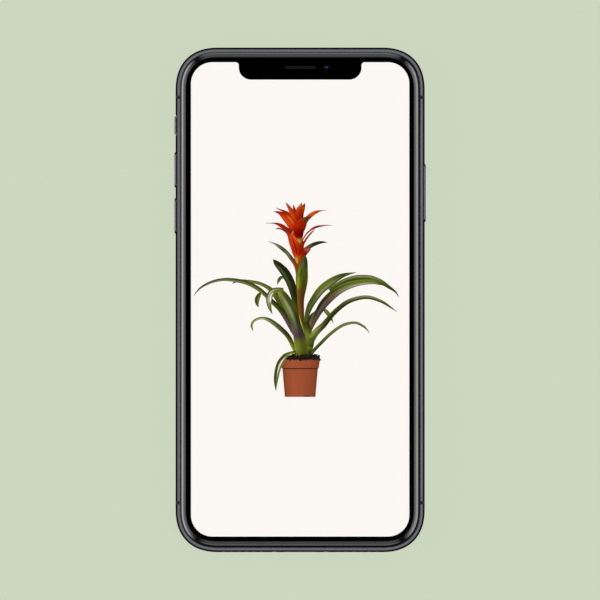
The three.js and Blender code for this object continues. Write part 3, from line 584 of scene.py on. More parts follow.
def grown(tree, base=None, finish=None, **inputs):
    """The plain mesh that a tree makes of its inputs, and of a base mesh if it needs one."""
    inputs["finish"] = finish and finish.material
    host = temporary("host", base or bpy.data.meshes.new("host"))
    growth = host.modifiers.new("growth", "NODES")
    growth.node_group = tree
    for item in tree.interface.items_tree:
        name = item.name.replace(" ", "_").lower()
        if item.in_out == "INPUT" and inputs.get(name) is not None:
            growth[item.identifier] = inputs[name]
    return baked_mesh(host)


def line(points, closed=False):
    """A curve through points in millimetres, for a tree to carry a section along."""
    data = bpy.data.curves.new("line", "CURVE")
    data.dimensions = "3D"
    run = data.splines.new("POLY")
    run.points.add(len(points) - 1)
    for knot, point in zip(run.points, points):
        knot.co = (*(Vector(point) * MM), 1)
    run.use_cyclic_u = closed
    return temporary("line", data)


print("trees can be grown")

# %% The sweep: a section along a path
sweep = Shape("section along a path")
rail = sweep.thing("Path")
section_curve = sweep.thing("Section")
upright = sweep.node("GeometryNodeSetCurveNormal", {"Curve": rail}, {"mode": "Z_UP"})
tube = sweep.node("GeometryNodeCurveToMesh", {
    "Curve": upright, "Profile Curve": section_curve, "Fill Caps": sweep.input("Capped", "yes"),
})
sweep_tree = sweep.done(tube)


def swept(stations, section, finish, closed=False):
    """Carry a section of (inset, height) points along the outline's stations."""
    path = line([(*point, 0) for point, _ in stations], closed)
    profile = line([(-inset, -height, 0) for inset, height in section], True)
    mesh = grown(sweep_tree, path=path, section=profile, capped=not closed, finish=finish)
    bpy.data.objects.remove(path)
    bpy.data.objects.remove(profile)
    return mesh


print("sweep inputs:", [item.name for item in sweep_tree.interface.items_tree])

# %% [markdown]
# ## The side band
#
# The band is one strip of stainless steel, rolled half round and polished, then given a dark
# graphite coat in vacuum. It could be a plain tube with a round bevel, but its section has ledges
# inside that carry the glasses, so the real section is swept along the outline instead. Four short
# plastic splits part it into lengths, so that each length can serve as an antenna.
#
# The coat is metal: nearly all it shows is a reflection, darker and a little purple. Vacuum coats
# lose most of their shine where they are seen at a glancing angle, which the specular tint gives.
# Its colour also carries painted shade: it turns near black towards mid height, along the band's
# outermost line.

# %% Graphite coat on polished steel
# The shares of the half height over which the painted shade fades out, on the band and on the buttons.
BAND_PAINTED_SHADE = (0.33, 0.66)
BUTTON_PAINTED_SHADE = (0.22, 0.37)
BAND_TONES = [(0.27, 0.235, 0.345), (0.295, 0.26, 0.375)]
BUTTON_TONES = [(0.50, 0.45, 0.60), (0.54, 0.49, 0.64)]
# Painted shade: the near-black colour that the coat turns to at mid height.
PAINTED_MID_SHADE = (0.012, 0.011, 0.014)
POLISH_LINES = (1.0, 1.0, 14.0)


def graphite_coat(name, tones, painted_shade, roughness):
    """The coat, with painted shade: its colour turns near black towards mid height."""
    finish = Finish(name, Metallic=1.0, Specular_Tint=BLACK)
    place = finish.place()
    cloud = finish.noise(place, 60.0)
    polish = finish.noise(finish.stretched(place, POLISH_LINES), 900.0, 4.0)
    off_middle = abs(finish.parts(place)[2] - MID_HEIGHT * MM) / (MID_HEIGHT * MM)
    coat_colour = finish.mix(*tones, cloud)
    # Painted shade: the coat's colour is mixed towards the near-black mid shade near mid height.
    return finish.paint(
        Base_Color=finish.mix(PAINTED_MID_SHADE, coat_colour, finish.smooth(off_middle, *painted_shade)),
        Roughness=roughness + 0.05 * polish,
        Normal=finish.bump(polish, 0.01, 0.00001),
    )


coat = graphite_coat("graphite coat on the band", BAND_TONES, BAND_PAINTED_SHADE, 0.1)
button_coat = graphite_coat("satin coat on the buttons", BUTTON_TONES, BUTTON_PAINTED_SHADE, 0.25)
print(coat.material.name, "and", button_coat.material.name)

# %% Section of the band
BAND_BACK = 0.95
BAND_FRONT = THICKNESS - BAND_BACK
BAND_WALL = 1.95
LEDGE_REACH = 2.45
LEDGE_DEPTH = 0.55
ARC_STEPS = 32
BAND_EDGE = 0.04


def band_arc():
    """The half-round outside, from the back to the front, as (inset, height)."""
    reach = math.asin((MID_HEIGHT - BAND_BACK - BAND_EDGE) / MID_HEIGHT)
    turns = [reach * (2 * step / ARC_STEPS - 1) for step in range(ARC_STEPS + 1)]
    insets = [MID_HEIGHT - MID_HEIGHT * math.cos(turn) for turn in turns]
    return [(inset, MID_HEIGHT + MID_HEIGHT * math.sin(turn)) for inset, turn in zip(insets, turns)]


edge_inset = band_arc()[0][0]
band_section = [(edge_inset + BAND_EDGE, BAND_BACK)] + band_arc() + [
    (edge_inset + BAND_EDGE, BAND_FRONT),
    (LEDGE_REACH, BAND_FRONT),
    (LEDGE_REACH, BAND_FRONT - LEDGE_DEPTH),
    (BAND_WALL, BAND_FRONT - LEDGE_DEPTH),
    (BAND_WALL, BAND_BACK + LEDGE_DEPTH),
    (LEDGE_REACH, BAND_BACK + LEDGE_DEPTH),
    (LEDGE_REACH, BAND_BACK),
]
print(len(band_section), "points in the section")

# %% [markdown]
# ## Openings in the band
#
# The buttons, the ring switch and the card tray pass through slots that are milled in the sides,
# with a clearance of 0.15 mm all round. The bottom end has the mouth of the charge port, a screw
# hole on each side of it, and two rows of drilled holes for sound. The rows are a pattern, so a
# tree makes them from a drill, a count and a pitch.

# %% Sizes of the controls and openings
CLEARANCE = 0.15
CONTROL_WIDTH = 2.9
BUTTONS = {
    "volume_up_button": (-1, 29.75, 39.9), "volume_down_button": (-1, 42.8, 53.0),
    "side_button": (1, 33.15, 49.65),
}
CUT_INNER = HALF_WIDTH - 3.5
CUT_OUTER = HALF_WIDTH + 1.0
CUT_BELOW = -1.0
SWITCH_Y = HALF_LENGTH - 22.15
SWITCH_TRAVEL = 1.0
SWITCH_PAD = (5.3, 2.3, 0.7)
TRAY_Y = -6.0
TRAY_FACE = (15.1, 2.0)
PORT = (3.2, 9.0)
PORT_CAVITY = (2.56, 8.34)
PORT_MOUTH = 0.15
PORT_DEPTH = 7.2
PORT_FLOOR = PORT_MOUTH + PORT_DEPTH - 0.5
PORT_GAP = 0.05
SCREW_X = 7.4
SCREW_HEAD = 0.75
SCREW_SHAFT = 0.45
SCREW_GAP = 0.15
SCREW_SEAT = 1.15
SOUND_FIRST = 11.0
SOUND_PITCH = 2.15
SOUND_COUNT = 6
SOUND_RADIUS = 0.7
THROUGH_THE_BAND = [(0, CUT_BELOW), (0, LEDGE_REACH + 1)]


def side_shape(side, y, loop, levels):
    """Walls laid along X, facing left or right, at mid height of the side."""
    mesh = shaped(loop, levels, ALONG_X)
    if side < 0:
        mesh.transform(FACING_LEFT)
    mesh.transform(Matrix.Translation(Vector((0, y, MID_HEIGHT)) * MM))
    return mesh


def side_cut(side, y, loop):
    return side_shape(side, y, loop, [(0, CUT_INNER), (0, CUT_OUTER)])


def bottom_shape(x, loop, levels):
    """Walls that point into the bottom end; a level's height is its depth from the outermost line."""
    deep = [(inset, depth - HALF_LENGTH) for inset, depth in levels]
    return shaped(loop, deep, ALONG_Y, (x, 0, MID_HEIGHT))


def button_middle(near, far):
    return HALF_LENGTH - (near + far) / 2


def slot_loop(length, width):
    return pill_loop(length + 2 * CLEARANCE, width + 2 * CLEARANCE)


button_cuts = {
    name: side_cut(side, button_middle(near, far), slot_loop(far - near, CONTROL_WIDTH))
    for name, (side, near, far) in BUTTONS.items()
}
switch_cut = side_cut(-1, SWITCH_Y, rounded_loop(
    SWITCH_PAD[0] + 2 * CLEARANCE, SWITCH_PAD[1] + SWITCH_TRAVEL + 2 * CLEARANCE, SWITCH_PAD[2] + CLEARANCE,
))
tray_cut = side_cut(1, TRAY_Y, slot_loop(*TRAY_FACE))
print(len(button_cuts) + 2, "slots")

# %% A row of anything
row = Shape("row of one thing")
spots = row.node("GeometryNodeMeshLine", {
    "Count": row.input("Count", "whole"), "Offset": row.input("Step", "place"),
})
copies = row.node("GeometryNodeInstanceOnPoints", {"Points": spots, "Instance": row.thing("Sample")})
row_tree = row.done(copies)


def in_a_row(sample_mesh, count, pitch, finish=None):
    """Copies of a mesh along X, the first where the mesh is."""
    sample = temporary("sample", sample_mesh)
    mesh = grown(row_tree, finish=finish, count=count, step=Vector((pitch, 0, 0)) * MM, sample=sample)
    bpy.data.objects.remove(sample)
    return mesh


def sound_drill(side):
    drill = bottom_shape(side * SOUND_FIRST, round_loop(SOUND_RADIUS, 20), THROUGH_THE_BAND)
    return in_a_row(drill, SOUND_COUNT, side * SOUND_PITCH)


print("two rows of", SOUND_COUNT, "sound holes")

# %% Sweep and cut the four lengths of the band
SPLIT_WIDTH = 0.9
SPLIT_TOP = HALF_LENGTH - 14.2
SPLIT_BOTTOM = -HALF_LENGTH + 14.1
half_split = SPLIT_WIDTH / 2


def side_station(side, y):
    return Vector((side * HALF_WIDTH, y)), Vector((side, 0))


def side_stations(side, low, high):
    ends_of_run = [side_station(side, low), side_station(side, high)]
    return stations_through(ends_of_run if side > 0 else ends_of_run[::-1])


def end_stations(corner, y):
    side = 1 if corner == 0 else -1
    turn = corners[corner] + corners[corner + 1]
    return stations_through([side_station(side, y), *turn, side_station(-side, y)])


screw_cuts = []
for side in (-1, 1):
    head_bore = round_loop(SCREW_HEAD + SCREW_GAP)
    screw_cuts.append(bottom_shape(side * SCREW_X, head_bore, [(0, CUT_BELOW), (0, SCREW_SEAT)]))
    shaft_bore = round_loop(SCREW_SHAFT + SCREW_GAP)
    screw_cuts.append(bottom_shape(side * SCREW_X, shaft_bore, [(0, 0), (0, LEDGE_REACH + 1)]))
mouth_loop = pill_loop(PORT[0] + 2 * PORT_GAP, PORT[1] + 2 * PORT_GAP)
mouth_cut = bottom_shape(0, mouth_loop, THROUGH_THE_BAND)

side_length = (SPLIT_BOTTOM + half_split, SPLIT_TOP - half_split)
left_run = swept(side_stations(-1, *side_length), band_section, coat)
right_run = swept(side_stations(1, *side_length), band_section, coat)
top_run = swept(end_stations(0, SPLIT_TOP + half_split), band_section, coat)
bottom_run = swept(end_stations(2, SPLIT_BOTTOM - half_split), band_section, coat)
left_run = carved(left_run, switch_cut, button_cuts["volume_up_button"], button_cuts["volume_down_button"])
right_run = carved(right_run, button_cuts["side_button"], tray_cut)
bottom_run = carved(bottom_run, mouth_cut, *screw_cuts, sound_drill(-1), sound_drill(1))
for name, run in [("left", left_run), ("right", right_run), ("top", top_run), ("bottom", bottom_run)]:
    made = piece(f"side_band_{name}", run, coat, instead_of=f"band_{name}")
    print(made.name, len(made.data.polygons), "faces")

# %% [markdown]
# ## Antenna splits
#
# Each split is a strip of satin plastic, moulded into the gap between two lengths and machined
# flush with them. It follows the same section, so it is the same sweep over a very short run. Its
# grain is fine and its colour sits a little above the coat's, so that it shows as a thin line.

# %% Satin plastic splits
split_plastic = grained(
    "satin plastic in the splits", (0.065, 0.065, 0.071), (0.095, 0.095, 0.104), per_metre=2500.0,
    roughness=0.42, spread=0.12, detail=3.0, relief=(0.12, 0.00002), Specular_IOR_Level=0.0,
)
for height_word, y in [("top", SPLIT_TOP), ("bottom", SPLIT_BOTTOM)]:
    for side_word, side in [("left", -1), ("right", 1)]:
        run = swept(side_stations(side, y - half_split, y + half_split), band_section, split_plastic)
        corner_word = f"{height_word}_{side_word}"
        old = f"antenna_split_{corner_word}"
        piece(f"split_{corner_word}", run, split_plastic, instead_of=old)
print("four splits,", SPLIT_WIDTH, "mm wide")

# %% [markdown]
# ## Gaskets
#
# Between each glass and the band sits a thin moulded gasket. Only its lip shows, as the dark line
# that parts the bright band from the bright rim of the glass. The lip is glossy and slopes outwards,
# so from above it mirrors what stands low down beyond its own side. That is dark, except beyond the
# earpiece end, where the line lights up.

# %% Gaskets
GLASS_THICKNESS = 0.75
GLASS_BOTTOM = THICKNESS - GLASS_THICKNESS
GASKET_REACH = 2.42
LIP_TOP = GLASS_BOTTOM + 0.07
LIP = (1.36, 1.54)
LIP_CHAMFER = 0.02
LIP_SLOPE = math.radians(39)
lip_drop = (LIP[1] - LIP[0]) * math.tan(LIP_SLOPE)
gasket_section = [
    (LIP[0], BAND_FRONT), (GASKET_REACH, BAND_FRONT), (GASKET_REACH, GLASS_BOTTOM),
    (LIP[1] + LIP_CHAMFER, GLASS_BOTTOM), (LIP[1] + LIP_CHAMFER, LIP_TOP - LIP_CHAMFER),
    (LIP[1], LIP_TOP), (LIP[0], LIP_TOP - lip_drop),
]
gasket_plastic = grained(
    "glossy gasket", (0.040, 0.040, 0.042), (0.062, 0.062, 0.065), per_metre=4000.0,
    roughness=0.12, spread=0.08, detail=3.0, IOR=2.0, Specular_IOR_Level=1.0,
)


def seen_from_back(section):
    return [(inset, THICKNESS - height) for inset, height in section]


for name, section in [("front", gasket_section), ("back", seen_from_back(gasket_section))]:
    ring = swept(whole_outline, section, gasket_plastic, closed=True)
    piece(f"gasket_ring_{name}", ring, gasket_plastic, instead_of=f"{name}_gasket")
print("gaskets", round(LIP[1] + LIP_CHAMFER - LIP[0], 2), "mm wide where they show")

# %% [markdown]
# ## Front and back glass
#
# Each glass is a flat sheet with a polished, curved rim. From straight above the rim mirrors the
# bright sides, and the flat mirrors the dark above, with a sharp edge between the two. The shape is
# the outline at rising insets. The back glass is printed black inside, so it needs no refraction: it
# is black with a clear, hard gloss. The front glass comes in two pieces: its rim, which has a coat
# under it that mirrors more than bare glass, and a clear sheet with real refraction over the mask.

# %% Glass shapes
GLASS_INSET = 1.62
RIM_STEPS = 14
RIM_STEEP = math.radians(50)
RIM_FLAT = math.radians(85)
RIM_RADIUS = 2.64
FOOT_CHAMFER = 0.02


def glass_levels():
    levels = [(GLASS_INSET + FOOT_CHAMFER, GLASS_BOTTOM), (GLASS_INSET, GLASS_BOTTOM + FOOT_CHAMFER)]
    for step in range(RIM_STEPS + 1):
        slope = RIM_STEEP + (RIM_FLAT - RIM_STEEP) * step / RIM_STEPS
        levels.append((
            GLASS_INSET + RIM_RADIUS * (math.cos(RIM_STEEP) - math.cos(slope)),
            THICKNESS - RIM_RADIUS * (math.sin(RIM_FLAT) - math.sin(slope)),
        ))
    return levels


SEAM_INSET = glass_levels()[-1][0] + 0.02
SLOT = (9.0, 1.0)
SLOT_PLACE = (0, HALF_LENGTH - 5.68, 0)
rim_section = [*glass_levels(), (SEAM_INSET, THICKNESS), (SEAM_INSET, GLASS_BOTTOM)]
front_sheet = slab(outline, GLASS_BOTTOM, THICKNESS, SEAM_INSET)
slot_cut = slab(pill_loop(*SLOT), GLASS_BOTTOM - 1, THICKNESS + 1, shift=SLOT_PLACE)
front_sheet = carved(front_sheet, slot_cut)

clear_glass = Finish("clear glass", Transmission_Weight=1.0, IOR=1.5, Base_Color=(0.985, 0.99, 0.99, 1.0))
wipe = clear_glass.noise(clear_glass.stretched(clear_glass.place(), (1.0, 0.3, 1.0)), 120.0, 5.0)
clear_glass.paint(Roughness=0.006 * wipe)
GLASS_SHARP = math.radians(5)
piece("cover_glass_front", front_sheet, clear_glass, "phone", "front_glass", GLASS_SHARP)


def printed_glass(name, ior, reflection):
    """Glass that is printed black inside: only its surface shows."""
    return grained(
        name, (0.0015, 0.0015, 0.0016), (0.0030, 0.0030, 0.0032), per_metre=90.0,
        roughness=0.02, spread=0.02, detail=3.0, IOR=ior, Specular_IOR_Level=reflection,
    )


mirror_rim = printed_glass("coated rim of the glass", 2.4, 1.0)
front_rim = swept(whole_outline, rim_section, mirror_rim, closed=True)
piece("cover_glass_rim", front_rim, mirror_rim, "phone", sharp=GLASS_SHARP)

WINDOW_Y = 53.0
WINDOW = (25.0, 11.0)
back_sheet = shaped(outline, seen_from_back(reversed(glass_levels())))
window_cut = slab(pill_loop(*WINDOW), CUT_BELOW, 2, shift=(0, WINDOW_Y, 0))
back_sheet = carved(back_sheet, window_cut)
black_glass = printed_glass("black back glass", 1.5, 0.5)
piece("cover_glass_back", back_sheet, black_glass, "phone", "back_glass", GLASS_SHARP)
print("rim rises from", round(glass_levels()[2][1], 2), "to", THICKNESS, "mm")

# %% [markdown]
# ## Mask and display
#
# Under the glass lies a black ink film with a window for the display, whose notch leaves room for
# the earpiece and the front camera. The display is a lit panel: it gives off its own light, so its
# finish is a black surface with emission. Its white is a little warm, and a faint unevenness keeps
# it from being a flat sheet of colour.

# %% Window shape with its notch
SCREEN_WIDTH = 62.2
SCREEN_TOP = HALF_LENGTH - 4.15
SCREEN_BOTTOM = -HALF_LENGTH + 4.43
SCREEN_CORNER = 6.15
NOTCH_WIDTH = 34.8
NOTCH_DEPTH = 4.96
NOTCH_CORNER = 3.42
NOTCH_FILLET = 0.95
WINDOW_STEPS = 20


def arc(x, y, radius, start, end):
    """Points of an arc round (x, y), with its angles in quarter turns."""
    shares = [step / WINDOW_STEPS for step in range(WINDOW_STEPS + 1)]
    turns = [math.pi / 2 * (start + (end - start) * share) for share in shares]
    return [Vector((x + radius * math.cos(turn), y + radius * math.sin(turn))) for turn in turns]


def window_loop(inset):
    """The display window, counter-clockwise, shrunk by an inset."""
    side, top, bottom = SCREEN_WIDTH / 2 - inset, SCREEN_TOP - inset, SCREEN_BOTTOM + inset
    corner, fillet = SCREEN_CORNER - inset, NOTCH_FILLET - inset
    notch, notch_corner = NOTCH_WIDTH / 2 + inset, NOTCH_CORNER + inset
    notch_bottom = SCREEN_TOP - NOTCH_DEPTH - inset
    middle = notch - notch_corner
    return [
        *arc(side - corner, bottom + corner, corner, -1, 0),
        *arc(side - corner, top - corner, corner, 0, 1),
        *arc(notch + fillet, top - fillet, fillet, 1, 2),
        *arc(middle, notch_bottom + notch_corner, notch_corner, 0, -1),
        *arc(-middle, notch_bottom + notch_corner, notch_corner, -1, -2),
        *arc(-notch - fillet, top - fillet, fillet, 0, 1),
        *arc(-side + corner, top - corner, corner, 1, 2),
        *arc(-side + corner, bottom + corner, corner, 2, 3),
    ]


print(len(window_loop(0)), "points round the window")

# %% Black mask film
MASK_BOTTOM = GLASS_BOTTOM - 0.1
MASK_TOP = GLASS_BOTTOM - 0.005
MASK_INSET = 2.5
EYE_PLACE = (7.5, HALF_LENGTH - 5.62, 0)
EYE_RADIUS = 1.4
WINDOW_OVERLAP = 0.06
film = slab(outline, MASK_BOTTOM, MASK_TOP, MASK_INSET)
cut_heights = (MASK_BOTTOM - 1, MASK_TOP + 1)
opening = slab(window_loop, *cut_heights, WINDOW_OVERLAP)
slot_opening = slab(pill_loop(*SLOT), *cut_heights, shift=SLOT_PLACE)
eye_opening = slab(round_loop(EYE_RADIUS), *cut_heights, shift=EYE_PLACE)
film = carved(film, opening, slot_opening, eye_opening)
ink = grained(
    "black mask ink", (0.0001, 0.0001, 0.00011), (0.0003, 0.0003, 0.00033), per_metre=3000.0,
    roughness=0.5, spread=0.2, Specular_IOR_Level=0.0,
)
piece("mask_under_glass", film, ink, instead_of="glass_mask")
print("mask", round(MASK_TOP - MASK_BOTTOM, 3), "mm thick")

# %% Lit display panel
PANEL_BOTTOM = MASK_BOTTOM - 1
PANEL_MARGIN = 0.8
SCREEN_WHITE = (0.973, 0.930, 0.896)
SCREEN_STRENGTH = 1.098
panel = slab(window_loop, PANEL_BOTTOM, MASK_BOTTOM, -PANEL_MARGIN)


def screen_finish(name, **values):
    """A finish that only gives off light, for the panel and for all that is drawn on it."""
    return Finish(name, Base_Color=BLACK, Specular_IOR_Level=0.0, Emission_Strength=SCREEN_STRENGTH, **values)


screen_light = screen_finish("lit display")
unevenness = screen_light.noise(screen_light.place(), 25.0, 3.0)
screen_light.paint(
    Emission_Color=screen_light.mix(SCREEN_WHITE, [0.997 * part for part in SCREEN_WHITE], unevenness),
    Roughness=0.25 + 0.05 * unevenness,
)
piece("lit_display_panel", panel, screen_light, instead_of="display_panel")
print("the window is", SCREEN_WIDTH, "by", round(SCREEN_TOP - SCREEN_BOTTOM, 2), "mm")

# %% [markdown]
# ## The picture on the screen
#
# The screen shows a bromeliad in a clay pot: arching green leaves in a rosette, a stout stem, and a
# flower head of red bracts. It is light, not a solid, so it is drawn flat, in layers a few
# thousandths of a millimetre apart between the panel and the glass. A leaf is a strip along a
# curve. Each has a layer, a place across it where light falls, from -1 to 1, and stations from its
# root to its tip: place and width in millimetres, how much sheen it has there, and its colour. A
# station without a colour keeps the one before, and one without sheen has none.

# %% Colours of the plant
PLANT_COLOURS = {
    "shadow_green": (0.022, 0.030, 0.004), "deep_green": (0.044, 0.060, 0.006),
    "leaf_green": (0.086, 0.110, 0.010), "bright_green": (0.180, 0.215, 0.020),
    "dull_green": (0.105, 0.118, 0.036), "moss": (0.130, 0.145, 0.016), "olive": (0.085, 0.080, 0.006),
    "yellow_green": (0.340, 0.340, 0.030), "gold_green": (0.180, 0.190, 0.005),
    "plum": (0.072, 0.052, 0.040), "umber": (0.090, 0.062, 0.026), "brick": (0.150, 0.050, 0.010),
    "bark": (0.118, 0.058, 0.008), "shadow_brown": (0.075, 0.048, 0.036), "ash": (0.300, 0.230, 0.200),
    "shine": (0.620, 0.620, 0.530), "gold": (0.420, 0.250, 0.035), "orange": (0.600, 0.090, 0.010),
    "orange_red": (0.480, 0.040, 0.004), "red": (0.370, 0.016, 0.002), "deep_red": (0.220, 0.005, 0.001),
    "crimson": (0.270, 0.016, 0.010), "coral": (0.360, 0.080, 0.055),
}
print(len(PLANT_COLOURS), "colours")

